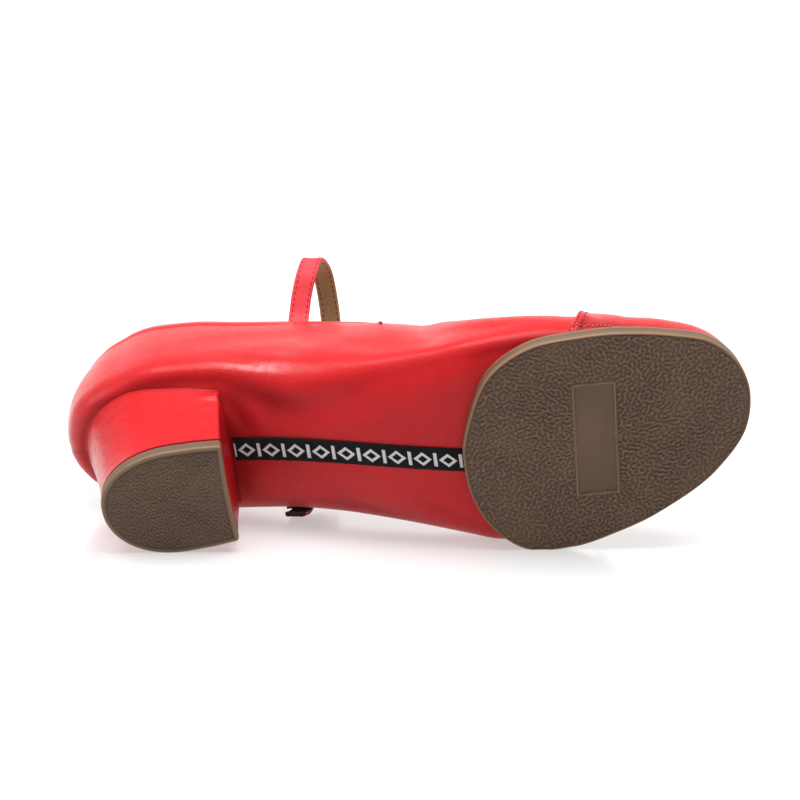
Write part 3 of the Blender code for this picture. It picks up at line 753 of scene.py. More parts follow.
# soft troughs (depth below 0) and ridges of the lying, unworn leather, each along a path in x, s, z:
# how wide and deep, how much shade is painted along it and how much more it gleams
creases = (
    # the turn of the inner side under the arch, with the hollow drawn in below it, and painted shade under
    # the turn and along the sole's edge
    {"path": ((56, 31, 42), (65, 29, 38.5), (74, 25.5, 33), (84, 22.5, 28), (96, 26, 25),
              (110, 29, 22.5), (124, 32, 19), (138, 35, 15), (152, 37.5, 12.5),
              (170, 38.5, 13), (186, 37.5, 14)),
     "width": 4.4, "depth": 0.65},
    {"path": ((57, 23, 35), (66, 19.5, 32), (76, 14.5, 27), (88, 14, 22.5), (102, 18.5, 17),
              (114, 22.5, 12.5)),
     "width": 7.0, "depth": -1.8},
    # painted shade below the turn
    {"path": ((54, 27.5, 38), (62, 26, 35), (70, 22.5, 31.5), (80, 18, 26), (88, 17.5, 23.5)),
     "width": 4.0, "dark": 0.55},
    {"path": ((96, 20.5, 21.5), (112, 26, 17.5), (128, 30, 12.5), (144, 34.4, 8.3),
              (158, 36, 7.2), (172, 36.8, 8), (186, 36.4, 9.5)),
     "width": 3.4, "depth": -0.5, "dark": 0.25},
    # painted shade on the leather just above the sole's edge
    {"path": ((146, 34.4, 7.4), (158, 36, 6.8), (171, 36.9, 7.8), (186, 36.5, 9.4)),
     "width": 2.2, "dark": 0.75},
    # painted shade in the hollow round the heel's breast and along the side that lies down
    {"path": ((57.5, 26, 35.5), (60, 12, 31), (60.5, 0, 30), (60.5, -12, 30.5), (58, -27, 34)),
     "width": 6.5, "dark": 0.5},
    {"path": ((60, -27, 33), (78, -27.5, 29), (96, -29.5, 23), (112, -32, 16), (128, -36, 11)),
     "width": 5.5, "dark": 0.45},
    # drawn in over the heel's seat, with painted shade along the top of the heel block
    {"path": ((62, 26.5, 35.3), (55, 27, 37), (46, 27.3, 38.9), (38, 27, 40.7),
              (28, 25.8, 42.8), (20, 23.3, 44.4)),
     "width": 2.6, "depth": -1.2, "dark": 0.62},
    {"path": ((56, 25, 35.6), (46, 25, 37.7), (37, 24.8, 39.4), (27, 24.1, 41.8),
              (17, 21.1, 44.1), (11, 18.2, 45.5), (6.5, 12.8, 46), (3.6, 6.2, 46.3),
              (3, 0, 46.4), (4, -8, 46), (9, -18, 45.4), (20, -24.5, 43.4)),
     "width": 1.5, "depth": -0.5, "dark": 0.75},
    # drapes between the heel's breast and the tape, with painted shade in two of their troughs
    {"path": ((58, 17, 33), (60.5, 12, 31), (62.5, 6, 30)), "width": 1.5, "depth": 0.8},
    {"path": ((60.5, 21, 33), (64, 13, 30), (66.5, 7, 29)), "width": 2.0, "depth": -0.9, "dark": 0.3},
    {"path": ((66, 19, 30), (70, 12, 28), (72, 7, 27)), "width": 2.4, "depth": 0.5},
    {"path": ((58, -8, 31), (61, -16, 31), (63, -22, 33)), "width": 2.0, "depth": -0.6, "dark": 0.25},
    # soft pulls over the counter and the side, some with a little painted shade, and where the counter
    # shines
    {"path": ((58, 31, 44), (66, 30, 41), (76, 27.5, 36), (86, 25.5, 31)),
     "width": 4.0, "depth": 0.3, "shine": 1.0},
    {"path": ((76, 30, 39), (86, 30.7, 42.5), (97, 30.8, 44)), "width": 4.0, "shine": 0.9},
    {"path": ((15, 24, 50), (6, 17.5, 52), (-1, 9, 54), (-3, 0, 55), (-2, -8, 55)),
     "width": 6.0, "shine": 1.0},
    {"path": ((60, 30.5, 47), (68, 29.5, 42), (78, 27.5, 37)),
     "width": 3.0, "depth": -0.55, "dark": 0.1},
    {"path": ((84, 30, 44), (92, 29, 35), (98, 27.5, 29)), "width": 3.4, "depth": -0.5, "dark": 0.08},
    {"path": ((104, 31, 44), (114, 31.5, 33), (122, 31.5, 25)), "width": 4.0, "depth": -0.45},
    {"path": ((132, 33, 40), (142, 35.5, 28), (158, 38, 20), (176, 38.5, 17)),
     "width": 4.0, "depth": -0.5, "dark": 0.05},
    {"path": ((46, 32, 58), (70, 30, 60), (96, 30, 54)), "width": 6.0, "depth": -0.4},
    # rises and dips of the side, from the strap to the cap
    {"path": ((80, 31, 60), (92, 30.5, 59), (104, 29, 58)), "width": 7.0, "depth": -0.7},
    {"path": ((114, 25.5, 66), (118, 29.6, 54), (122, 31.5, 44), (125, 32.5, 34)),
     "width": 6.0, "depth": 0.9},
    {"path": ((134, 23, 58), (135, 30, 48), (137, 33.8, 38), (138, 35, 28), (138, 34.6, 18)),
     "width": 4.8, "depth": -2.0},
    {"path": ((144, 35.6, 33), (158, 37.2, 26), (172, 37.6, 21.5), (186, 36.5, 20.5)),
     "width": 8.0, "depth": 1.3},
    # the outer side, towards the ball, with a little painted shade
    {"path": ((84, -20, 24), (104, -26, 19), (124, -32, 13)), "width": 5.0, "depth": -0.6, "dark": 0.1},
    {"path": ((120, -20, 9), (132, -27, 7), (144, -34, 6)), "width": 3.0, "depth": -0.4, "dark": 0.2},
)
toplineEdge = {"fold": 0.45, "band": 4.2, "soft": 0.7}
backSeam = {"deep": 0.3, "dark": 0.55, "from": 8}  # starts that many rows out from under the sole


def foldLeather(points, table):
    moved = np.zeros(len(points))
    dark = np.zeros(len(points))
    shine = np.zeros(len(points))
    for crease in table:
        far, where = toPolyline(points, crease["path"])
        taper = np.sin(np.pi * np.clip(where, 0.02, 0.98)) ** 0.6
        share = bell(far, crease["width"]) * taper
        moved += crease.get("depth", 0) * share
        dark += crease.get("dark", 0) * share
        shine += crease.get("shine", 0) * share
    return moved, np.clip(dark, 0, 1), shine


def makeUpper():
    grid, normals = makeForm(**upperMesh)
    count, rows = grid.shape[:2]
    # distance below the top line, along each half section
    steps = np.linalg.norm(np.diff(grid, axis=1), axis=2)
    below = np.concatenate([np.cumsum(steps[:, ::-1], 1)[:, ::-1], np.zeros((count, 1))], 1)
    isOpen = np.abs(grid[:, -1, 1]) + np.abs(grid[:, -1, 0] - heelCentre) * (grid[:, -1, 0] < 60) > 0.5
    isOpen &= grid[:, -1, 0] < throat - 0.01
    flat, flatNormals = grid.reshape(-1, 3), normals.reshape(-1, 3)
    moved, dark, shine = foldLeather(flat, creases)
    # the seam up the back
    back = np.argmin(grid[:, rows // 2, 0]) * rows + np.arange(backSeam["from"], rows)
    moved[back] -= backSeam["deep"]
    dark[back] = np.maximum(dark[back], backSeam["dark"])
    # the folded band along the top line
    band = 1 - smoothStep(toplineEdge["band"] - toplineEdge["soft"], toplineEdge["band"], below)
    band *= isOpen[:, None]
    outer = flat + flatNormals * (moved + toplineEdge["fold"] * band.ravel())[:, None]
    innerSkin = flat + flatNormals * (np.minimum(moved, 0) - wall)[:, None]
    # a rounded rim joins the two skins round the opening
    open0, open1 = np.where(isOpen)[0][[0, -1]]
    rimRibs = np.arange(open0 - 1, open1 + 2)
    outerTop = outer.reshape(count, rows, 3)[rimRibs, -1]
    innerTop = innerSkin.reshape(count, rows, 3)[rimRibs, -1]
    along = np.gradient((outerTop + innerTop) / 2, axis=0)
    upward = unit(np.cross(along, outerTop - innerTop))
    upward *= np.sign(upward[len(upward) // 2, 2])
    radius = np.linalg.norm(outerTop - innerTop, axis=1, keepdims=True) / 2
    rim = np.stack(roundEdge(outerTop, innerTop, upward * radius * 0.9, 7), 1)
    outerFaces = gridFaces(count, rows, closedRows=True)
    innerFaces = gridFaces(count, rows, closedRows=True, start=count * rows)
    rimIds = 2 * count * rows + np.arange(rim.shape[0] * rim.shape[1]).reshape(rim.shape[:2])
    topIds = (rimRibs * rows + rows - 1)[:, None]
    rimFaces = quadsOf(np.hstack([topIds, rimIds, count * rows + topIds]))
    points = np.concatenate([outer, innerSkin, rim.reshape(-1, 3)])
    faces = np.concatenate([outerFaces, innerFaces[:, ::-1], rimFaces])
    slots = np.concatenate([np.zeros(len(outerFaces)), np.ones(len(innerFaces)), np.zeros(len(rimFaces))])
    rest = np.zeros(len(points) - len(dark))
    kept = {"fold": np.concatenate([dark, rest]), "shine": np.concatenate([shine, rest])}
    return makePiece("upperShell", points, faces, [leather, lining], slots, kept)


upper = makeUpper()
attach(upper, "root")
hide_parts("upper")
print("upper made")

# toe cap
capMesh = {
    "fanSteps": 40,
    "vampSteps": 4,
    "throatSteps": 2,
    "quarterSteps": 2,
    "underSteps": 20,
    "sideSteps": 40,
}
capLook = {
    "thick": 1.1,
    "fold": 0.8,
    "foldWide": 2.9,
    "groove": 0.4,  # behind the fold
    "seam": ((9.5, 185.5), (18, 189.2), (28, 191.4), (38, 192.0)),  # z, x of its back edge
    "gatherHigh": 11.5,
    "gather": 0.3,
    # painted shade on the rounded ends, in the stitched groove and in the gathers
    "edgeShade": 0.9,
    "grooveShade": 0.45,
    "gatherShade": 0.65,
    "shineAt": (197, 17),  # x, z
    "shine": 0.9,
    "rows": (0.8, 2.5),  # of stitches, from the edge
    "footHigh": 11.4,  # the row along its foot
    "footEnd": 216,
}


def seamShares(rib, behind):
    # how far each point of the toe part's last half section moves back to stand on the seam
    seam = np.array(capLook["seam"], float)
    wanted = curveAt(np.clip(rib[:, 2], *seam[[0, -1], 0]), seam[:, 0], seam[:, 1])
    return np.clip((rib[:, 0] - wanted) / (rib[:, 0] - behind[:, 0]), 0, 1)[:, None]


def makeToeCap(look):
    fan = capMesh["fanSteps"]
    grid, normals = makeForm(**capMesh)
    shares = [seamShares(grid[side * fan], grid[side * (fan + 1)]) for side in (1, -1)]
    steps = (0.2, 0.4, 0.6, 0.8, 1.0)

    def withSeams(values):
        # the half sections round the toe, with more of them back to the seam on each side
        rows = [values[i] for i in range(-fan, fan + 1)]
        for step in steps:
            rows.insert(0, values[-fan] * (1 - shares[1] * step) + values[-fan - 1] * shares[1] * step)
            rows.append(values[fan] * (1 - shares[0] * step) + values[fan + 1] * shares[0] * step)
        return np.array(rows)[:, capMesh["underSteps"] // 2 :]

    base, out = withSeams(grid), unit(withSeams(normals))
    seam = np.concatenate([base[-1], base[0, ::-1]])
    far = toPolyline(base.reshape(-1, 3), seam)[0].reshape(base.shape[:2])
    # the folded edge stands higher, with a stitched groove behind it
    high = look["fold"] * (1 - smoothStep(look["foldWide"] * 0.5, look["foldWide"] * 1.4, far))
    high -= look["groove"] * bell(far - look["foldWide"], 0.5)
    # gathers where the leather is drawn in under the sole
    gather = bell(base[:, :, 2] - look["gatherHigh"], 3.5) * smoothStep(0, 4, far)
    ripple = base[:, :, 0] * 3.3 + base[:, :, 1] * 1.1 + 1.2 * np.sin(base[:, :, 0] * 0.9)
    high += look["gather"] * gather * np.sin(ripple)
    outer = base + out * (gap + look["thick"] + high)[:, :, None]
    inner = base + out * gap
    # the outer skin, with a rounded edge at each end of it
    columns = [outer[0], *outer, outer[-1]]
    for end in (0, -1):
        back = unit(np.array([-1.0, 0, 0]) - out[end] * -out[end][:, :1])
        edge = roundEdge(outer[end], inner[end], back * 0.5, 8)
        if end == 0:
            columns = [inner[0], *edge[::-1], *columns[1:]]
        else:
            columns = [*columns[:-1], *edge, inner[-1]]
    skin = np.array(columns)
    count, rows = skin.shape[:2]
    under = inner.shape[0]
    outerFaces = gridFaces(count, rows)
    innerFaces = gridFaces(under, rows, start=count * rows)[:, ::-1]
    points = allPoints(skin, inner)
    # the lip under the sole
    lip = np.arange(under)
    first = (count - under) // 2
    top = (lip + first) * rows
    low = count * rows + lip * rows
    lipFaces = quadsOf(np.stack([top, low], 1))
    faces = np.concatenate([outerFaces, innerFaces, lipFaces])
    # painted shade on the rounded ends, in the groove behind the fold and in the gathers
    dark = np.full(skin.shape[:2], look["edgeShade"])
    inGroove = look["grooveShade"] * bell(far - look["foldWide"], 0.6)
    dark[first : first + under] = inGroove + look["gatherShade"] * gather
    shineX, shineZ = look["shineAt"]
    shine = np.exp(-(((points[:, 0] - shineX) / 5) ** 2) - ((points[:, 2] - shineZ) / 4.5) ** 2)
    kept = {
        "fold": np.concatenate([dark.ravel(), np.zeros(under * rows)]),
        "shine": look["shine"] * shine,
    }
    piece = makePiece("toeCap", points, faces, [leather], values=kept, sharp=60)

    # where its rows of stitches run, from the inner side's foot over the top to the outer side's
    half = fan + len(steps)
    sewn = []
    for along in look["rows"]:
        lines = []
        for side in (1, -1):
            line = []
            for row in range(rows - 2):
                reach = far[:, row][::side][:half]
                lifted = outer[:, row][::side][:half]
                spot = np.interp(along, reach, np.arange(half))
                line.append([np.interp(spot, np.arange(half), lifted[:, k]) for k in range(3)])
            lines.append(line)
        sewn.append(np.array([*lines[0], *lines[1][::-1]]))
    # the row along its foot on the inner side
    foot = []
    for skinRow, wayRow in zip(outer[: under // 2 : -1], out[: under // 2 : -1]):
        proud = skinRow + 0.1 * wayRow
        foot.append([np.interp(look["footHigh"], skinRow[:, 2], proud[:, k]) for k in range(3)])
    foot = np.array(foot)
    return piece, sewn, foot[foot[:, 0] < look["footEnd"]]


toeCap, capRows, capFoot = makeToeCap(capLook)
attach(toeCap, "root")
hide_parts("toe_cap")
print("toe cap made")

# insole
insoleMesh = {
    "fanSteps": 26,
    "vampSteps": 10,
    "throatSteps": 16,
    "quarterSteps": 16,
    "underSteps": 20,
    "sideSteps": 4,
}
insoleLook = {"thick": 2.6, "reach": 0.75}  # reach is the share of the underside that it covers


def makeInsole(look):
    grid, normals = makeForm(**insoleMesh)
    rows = slice(0, int(insoleMesh["underSteps"] * look["reach"]) + 1)
    base, out = grid[:, rows], normals[:, rows]
    count, columns = base.shape[:2]
    top = base - out * (wall + gap + look["thick"])
    low = base - out * (wall + gap)
    topFaces = gridFaces(count, columns, closedRows=True)
    lowFaces = gridFaces(count, columns, closedRows=True, start=count * columns)[:, ::-1]
    ids = np.append(np.arange(count), 0) * columns + columns - 1
    edgeFaces = quadsOf(np.stack([ids, ids + count * columns], 1))
    faces = np.concatenate([topFaces, lowFaces, edgeFaces])
    return makePiece("sockInsole", allPoints(top, low), faces, [sockLining])


insole = makeInsole(insoleLook)
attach(insole, "root")
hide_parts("insole")


# worm-like tread
def wormField(size, pitch, seed, spread, stretch=(1.0, 1.0)):
    # a labyrinth of short raised worms, pitch millimetres apart, on a square of that many millimetres
    step = pitch / 6
    count = int(size / step)
    rng = np.random.default_rng(seed)
    freq = np.fft.fftfreq(count, step)
    fx, fy = np.meshgrid(freq * stretch[0], freq * stretch[1], indexing="ij")
    ring = bell(np.hypot(fx, fy) * pitch - 1, spread)
    field = np.real(np.fft.ifft2(np.fft.fft2(rng.standard_normal((count, count))) * ring))
    return field / field.std(), step


def readField(field, step, x, s):
    count = len(field)
    u, v = (np.asarray(x) / step) % count, (np.asarray(s) / step) % count
    i, j = u.astype(int), v.astype(int)
    fu, fv = u - i, v - j
    i1, j1 = (i + 1) % count, (j + 1) % count
    i, j = i % count, j % count
    return (
        field[i, j] * (1 - fu) * (1 - fv)
        + field[i1, j] * fu * (1 - fv)
        + field[i, j1] * (1 - fu) * fv
        + field[i1, j1] * fu * fv
    )


class TreadRings:
    # closed rings of a tread, with how raised and how much of the rim each point is
    def __init__(self):
        self.rings, self.reliefs, self.rims = [], [], []

    def add(self, plan, height, relief, rim):
        self.rings.append(np.column_stack([plan, np.broadcast_to(height, len(plan))]))
        self.reliefs.append(np.broadcast_to(relief, len(plan)))
        self.rims.append(np.broadcast_to(rim, len(plan)))

    def piece(self, name, material):
        kept = {"relief": np.concatenate(self.reliefs), "rim": np.concatenate(self.rims)}
        return ringPiece(name, self.rings, [material], values=kept)


# forefoot sole
padLook = {
    "thick": 4.0,
    "points": 560,
    "rings": 96,
    "rimWide": 0.6,
    "rimHigh": 0.25,
    "rimRings": 0.06,  # share of the rings that the rim takes
    "wormPitch": 1.68,
    "wormHigh": 0.42,
    "wormSpread": 0.34,
    "wormSeed": 11,
    "breakSpread": 0.5,  # slow changes of the worms' height
    "breakSeed": 3,
    "panelX": 189.3,
    "panelS": -2.6,
    "panelLong": 43.8,
    "panelWide": 14.0,
    "panelTurn": 3.8,
    "panelDeep": 0.33,
    "frameHigh": 0.5,
}
padOutline = (
    (141.4, -3), (145.3, 12.7), (155.4, 30.2), (168.8, 37.5), (186, 38.9), (203, 37.8),
    (219.6, 33.3), (234.7, 26.2), (243.8, 15), (247.3, 1.5), (244.7, -11.8), (232.3, -25.5),
    (212.4, -35.8), (193.6, -42.2), (176.6, -45.5), (159, -43.1), (148.2, -32.4), (142.2, -17),
)


def closedCurve(points, count):
    given = np.array(points, float)
    at = lengthsAlong(np.vstack([given, given[:1]]))
    wrapped = np.vstack([given[-2:], given, given[:3]])
    places = np.concatenate([at[-3:-1] - at[-1], at, at[-1] + at[1:3]])
    spots = np.linspace(0, at[-1], count, endpoint=False)
    return np.stack([curveAt(spots, places, wrapped[:, k]) for k in (0, 1)], 1)


def inset(ring, by):
    along = np.roll(ring, -1, 0) - np.roll(ring, 1, 0)
    inward = unit(np.stack([along[:, 1], -along[:, 0]], 1))
    if np.mean(((ring - ring.mean(0)) * inward).sum(1)) > 0:
        inward = -inward
    return ring + inward * by


def makeForefootSole(look):
    outline = closedCurve(padOutline, look["points"])
    middle = outline.mean(0)

    def under(x):
        return form("under", np.clip(x, 120, 250))

    tread = TreadRings()
    # the top, against the form
    topPlan = inset(outline, 1.2)
    for share in (0.0, 0.5):
        plan = middle + (topPlan - middle) * share
        tread.add(plan, under(plan[:, 0]) - gap, 0.5, 0.0)
    for by in (6.0, 3.5, 1.8):
        plan = inset(outline, by)
        high = np.minimum(underside(plan[:, 0], plan[:, 1]) - gap, under(plan[:, 0]) + 1.6)
        tread.add(plan, high, 0.5, 0.0)
    for by, up in ((0.7, 1.75), (0.2, 1.5), (0.0, 1.0)):
        plan = inset(outline, by)
        tread.add(plan, under(plan[:, 0]) + up, 0.5, 0.8)
    # the side wall and the rounded rim: inset, drop, how much of the rim
    wallSteps = (
        (0.0, 0.0, 0.1),
        (-0.1, 1.4, 0.2),
        (-0.1, 2.8, 0.5),
        (-0.05, 3.7, 1.0),
        (0.1, 4.1, 1.0),
        (0.3, 4.3, 1.0),
    )
    for by, drop, rim in wallSteps:
        plan = inset(outline, by)
        tread.add(plan, under(plan[:, 0]) - gap - drop, 0.35, rim)
    # the tread face
    field, step = wormField(160, look["wormPitch"], look["wormSeed"], look["wormSpread"])
    breaks = wormField(160, look["wormPitch"] * 2, look["breakSeed"], look["breakSpread"])[0]
    turn = math.radians(-look["panelTurn"])
    inner = inset(outline, look["rimWide"] + 0.3)
    for k in range(look["rings"]):
        share = k / (look["rings"] - 1)
        rimEnd = look["rimRings"]
        if share < rimEnd:
            plan = inset(outline, 0.5 + (look["rimWide"] - 0.2) * share / rimEnd)
        else:
            plan = middle + (inner - middle) * (1 - (share - rimEnd) / (1 - rimEnd))
        x, s = plan[:, 0], plan[:, 1]
        px = (x - look["panelX"]) * math.cos(turn) + (s - look["panelS"]) * math.sin(turn)
        ps = -(x - look["panelX"]) * math.sin(turn) + (s - look["panelS"]) * math.cos(turn)
        # how far outside the framed rectangle a point is
        outside = np.maximum(np.abs(px) - look["panelWide"] / 2, np.abs(ps) - look["panelLong"] / 2)
        worm = smoothStep(-0.8, 0.7, readField(field, step, x, s))
        worm = worm * (0.55 + 0.45 * smoothStep(-1.2, 0.4, readField(breaks, step * 2, x, s)))
        worms = worm * smoothStep(0.02, 0.075, share) * smoothStep(0.9, 1.3, outside)
        frameBar = smoothStep(-0.1, 0.25, outside) * (1 - smoothStep(0.65, 1.0, outside))
        panel = 1 - smoothStep(-0.35, 0.0, outside)
        down = look["rimHigh"] * (1 - smoothStep(0.0, 0.05, share)) + look["wormHigh"] * worms
        down = down + look["frameHigh"] * frameBar - look["panelDeep"] * panel
        relief = np.clip(0.15 + 0.75 * worms + 0.7 * frameBar + 0.42 * panel, 0, 1)
        rim = np.maximum(1 - smoothStep(0.015, 0.05, share), 0.6 * frameBar)
        tread.add(plan, np.maximum(under(x) - gap - look["thick"], 0) - down + 0.25, relief, rim)
    return tread.piece("forefootSole", soleRubber)


pad = makeForefootSole(padLook)
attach(pad, "root")
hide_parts("forefoot_sole")
print("forefoot sole made")

# heel
foot = {"front": 56.8, "back": 10.6, "inner": 18.8, "outer": 20.8, "belly": 0.9, "widest": 0.6, "bow": -0.6}
seat = {"front": 57.3, "back": 4.6, "inner": 24.0, "outer": 25.0, "belly": 1.4, "widest": 0.55, "bow": 1.0}
heelLook = {"points": 300, "levels": 26, "flare": 1.35}
liftLook = {
    "thick": 5.5,
    "points": 420,
    "rings": 64,
    "rimWide": 1.7,
    "wormPitch": 1.05,
    "wormHigh": 0.26,
    "wormStretch": (0.7, 1.5),
    "wormSpread": 0.42,
    "wormSeed": 5,
}


def heelOutline(sizes, count):
    # a D with its flat side to the front, drawn as many close points
    long = sizes["front"] - sizes["back"]
    middle = sizes["back"] + sizes["widest"] * long
    turn = np.pi * np.arange(49) / 48
    side = np.where(turn < np.pi / 2, sizes["inner"] + sizes["belly"], -sizes["outer"] - sizes["belly"])
    share = np.abs(np.cos(turn)) ** 0.95
    back = np.stack([middle - (middle - sizes["back"]) * np.sin(turn) ** 0.95, side * share], 1)
    front = []
    for sign, half in ((-1, sizes["outer"]), (1, sizes["inner"])):
        corner = [
            [middle + 0.5 * (sizes["front"] - middle), sign * (half + 0.8 * sizes["belly"])],
            [sizes["front"] - 1.0, sign * half],
            [sizes["front"] - 0.3, sign * (half - 0.35)],
            [sizes["front"], sign * (half - 1.1)],
            [sizes["front"] + 0.75 * sizes["bow"], sign * 0.5 * half],
        ]
        front += corner if sign < 0 else corner[::-1]
        if sign < 0:
            front.append([sizes["front"] + sizes["bow"], 0.0])
    ring = np.vstack([back, front])
    # even spacing, so that rings of two outlines match
    closed = np.vstack([ring, ring[:1]])
    at = lengthsAlong(closed)
    marks = (0, 48, 50, len(ring) - 3, len(ring))
    spots = []
    share = (0.52, 0.12, 0.24, 0.12)
    for a, b, part in zip(marks, marks[1:], share):
        spots.append(np.linspace(at[a], at[b], int(count * part), endpoint=False))
    spots = np.concatenate(spots)
    return np.stack([np.interp(spots, at, closed[:, k]) for k in (0, 1)], 1)


def makeHeelBlock(look):
    low, high = heelOutline(foot, look["points"]), heelOutline(seat, look["points"])
    floor = liftLook["thick"] + gap
    tops = underside(high[:, 0], high[:, 1]) - gap
    rings = [np.column_stack([np.broadcast_to(low.mean(0), low.shape), np.full(len(low), floor)])]
    rings.append(np.column_stack([inset(low, 0.6), np.full(len(low), floor)]))
    folds = [np.zeros(len(low)), np.ones(len(low))]
    for k in range(look["levels"] + 1):
        t = k / look["levels"]
        plan = low + (high - low) * t ** look["flare"]
        height = floor + 0.25 + (tops - floor - 0.25) * t
        # the leather puckers a little under the seat's front corners
        near = np.exp(-((np.abs(np.abs(plan[:, 1]) - 23.5) / 4) ** 2 + ((plan[:, 0] - 56) / 4.5) ** 2))
        wave = near * np.sin(t * 24 + 0.8 * plan[:, 1]) * smoothStep(0.6, 0.95, t)
        rings.append(np.column_stack([plan[:, 0] - 0.3 * wave, plan[:, 1] + 0.55 * wave, height]))
        # painted shade along the block's top and bottom edges
        edge = 0.5 * float(smoothStep(0.94, 1.0, t)) + 0.5 * float(1 - smoothStep(0, 0.03, t))
        # painted shade on the flat front, short of its corners, and in the puckers
        ahead = smoothStep(-0.9, -0.2, plan[:, 0] - plan[:, 0].max())
        ahead = ahead * smoothStep(0.3, 2.5, 22 - np.abs(plan[:, 1]))
        folds.append(np.maximum(edge, 0.7 * ahead) + 0.35 * np.abs(wave))
    for share in (0.93, 0.8, 0.5, 0.0):
        plan = high.mean(0) + (high - high.mean(0)) * share
        rings.append(np.column_stack([plan, underside(plan[:, 0], plan[:, 1]) - gap]))
        folds.append(np.ones(len(low)))
    # the rounded back shines
    shine = 0.9 * (1 - smoothStep(8, 30, np.concatenate(rings)[:, 0]))
    kept = {"fold": np.concatenate(folds), "shine": shine}
    return ringPiece("coveredHeel", rings, [heelLeather], values=kept, sharp=50)


def makeHeelLift(look):
    outline = heelOutline(foot, look["points"])
    middle = outline.mean(0)
    thick = look["thick"]
    tread = TreadRings()
    tread.add(np.broadcast_to(middle, outline.shape), thick, 0.5, 0)
    for by, height in ((0.5, thick), (0.1, thick - 0.2), (0.0, thick - 0.6), (-0.1, 2.6), (-0.1, 1.3)):
        tread.add(inset(outline, by), height, 0.3, 0.35)
    for by, height in ((0.0, 0.7), (0.2, 0.25), (0.55, 0.03), (0.9, 0.0), (1.2, 0.1), (1.5, 0.25)):
        tread.add(inset(outline, by), height, 0.6, 1.0 if by < 1 else 0.4)
    field, step = wormField(
        80, look["wormPitch"], look["wormSeed"], look["wormSpread"], look["wormStretch"]
    )
    inner = inset(outline, look["rimWide"])
    for k in range(look["rings"]):
        plan = middle + (inner - middle) * (1 - k / (look["rings"] - 1))
        worm = smoothStep(-0.9, 0.9, readField(field, step, plan[:, 0], plan[:, 1]))
        worm = worm * smoothStep(0, 2, k)
        tread.add(plan, 0.34 - look["wormHigh"] * worm, 0.15 + 0.7 * worm, 0)
    return tread.piece("heelLift", liftRubber)


heelBlock = makeHeelBlock(heelLook)
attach(heelBlock, "root")
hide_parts("heel_block")
heelLift = makeHeelLift(liftLook)
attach(heelLift, "root")
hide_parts("heel_lift")
print("heel made")

# arch tape
tapeSizes = {"back": 59.4, "front": 141.6, "width": 9.4, "thick": 0.8}
tapeRoute = np.array(((50, 0.8), (80, 0.6), (110, -1.0), (130, -3.2), (150, -6.2)))


def makeTape(sizes):
    xs = np.linspace(sizes["back"], sizes["front"], 170)
    vs = np.linspace(-0.5, 0.5, 15)
    middle = curveAt(xs, tapeRoute[:, 0], tapeRoute[:, 1])
    x = np.repeat(xs[:, None], len(vs), 1)
    s = middle[:, None] + sizes["width"] * vs[None]
    under = underside(x.ravel(), s.ravel()).reshape(x.shape)
    wave = 0.07 * np.sin(x * 1.3 + s) + 0.05 * np.sin(x * 0.55)
    crown = sizes["thick"] * (1 - np.abs(2 * vs[None]) ** 6 * 0.75)
    low = np.stack([x, s, under - gap - crown + wave], 2)
    top = np.stack([x, s, under - gap * 0.4], 2)
    across = sizes["width"] * np.broadcast_to(vs[None], x.shape)
    uv = np.stack([x - sizes["back"], across], 2).reshape(-1, 2)
    return sheetPiece("archTape", low, top, tapeCloth, uv=np.vstack([uv, uv]))


tape = makeTape(tapeSizes)
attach(tape, "root")
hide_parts("arch_tape")

# strap
strapLook = {"width": 7.7, "thick": 1.9, "patchThick": 1.1, "twist": -0.15, "hookRows": 36}
strapInside = ((85.4, 62), (86.3, 68), (87.2, 74))
strapLoop = (
    (88.0, 20.4, 80.4), (89.4, 22.8, 86.4), (91.6, 28.6, 91.8), (94.6, 34.6, 97.2),
    (97.4, 37.0, 104.0), (100.0, 31.0, 110.0), (101.0, 17.0, 112.4), (100.2, 0.0, 109.8),
    (97.8, -16.0, 101.8), (94.6, -27.0, 89), (91.6, -32.6, 77),
)
strapOutside = ((88.2, 68), (84.8, 58), (81.8, 49), (79.4, 41), (77.6, 34))


def strapRoute(count):
    depth = wall + 2 * gap + strapLook["thick"] / 2
    inside = [wallPoint(x, z, 1, -depth) for x, z in strapInside]
    over = gap + strapLook["patchThick"] + 2 * gap + strapLook["thick"] / 2
    outside = [wallPoint(x, z, -1, over) for x, z in strapOutside]
    return smoothPath(np.array([*inside, *strapLoop, *outside]), count)


def ribbonAxes(route):
    # for each point of the strap's middle line, the ways across it and out of its flat side
    along = unit(np.gradient(route, axis=0))
    ahead = np.array([1.0, strapLook["twist"], 0])
    across = unit(ahead - along * (along @ ahead)[:, None])
    return across, np.cross(along, across)


def outwardSign(route, out):
    return np.sign(np.mean(((route - route.mean(0)) * out).sum(1)))


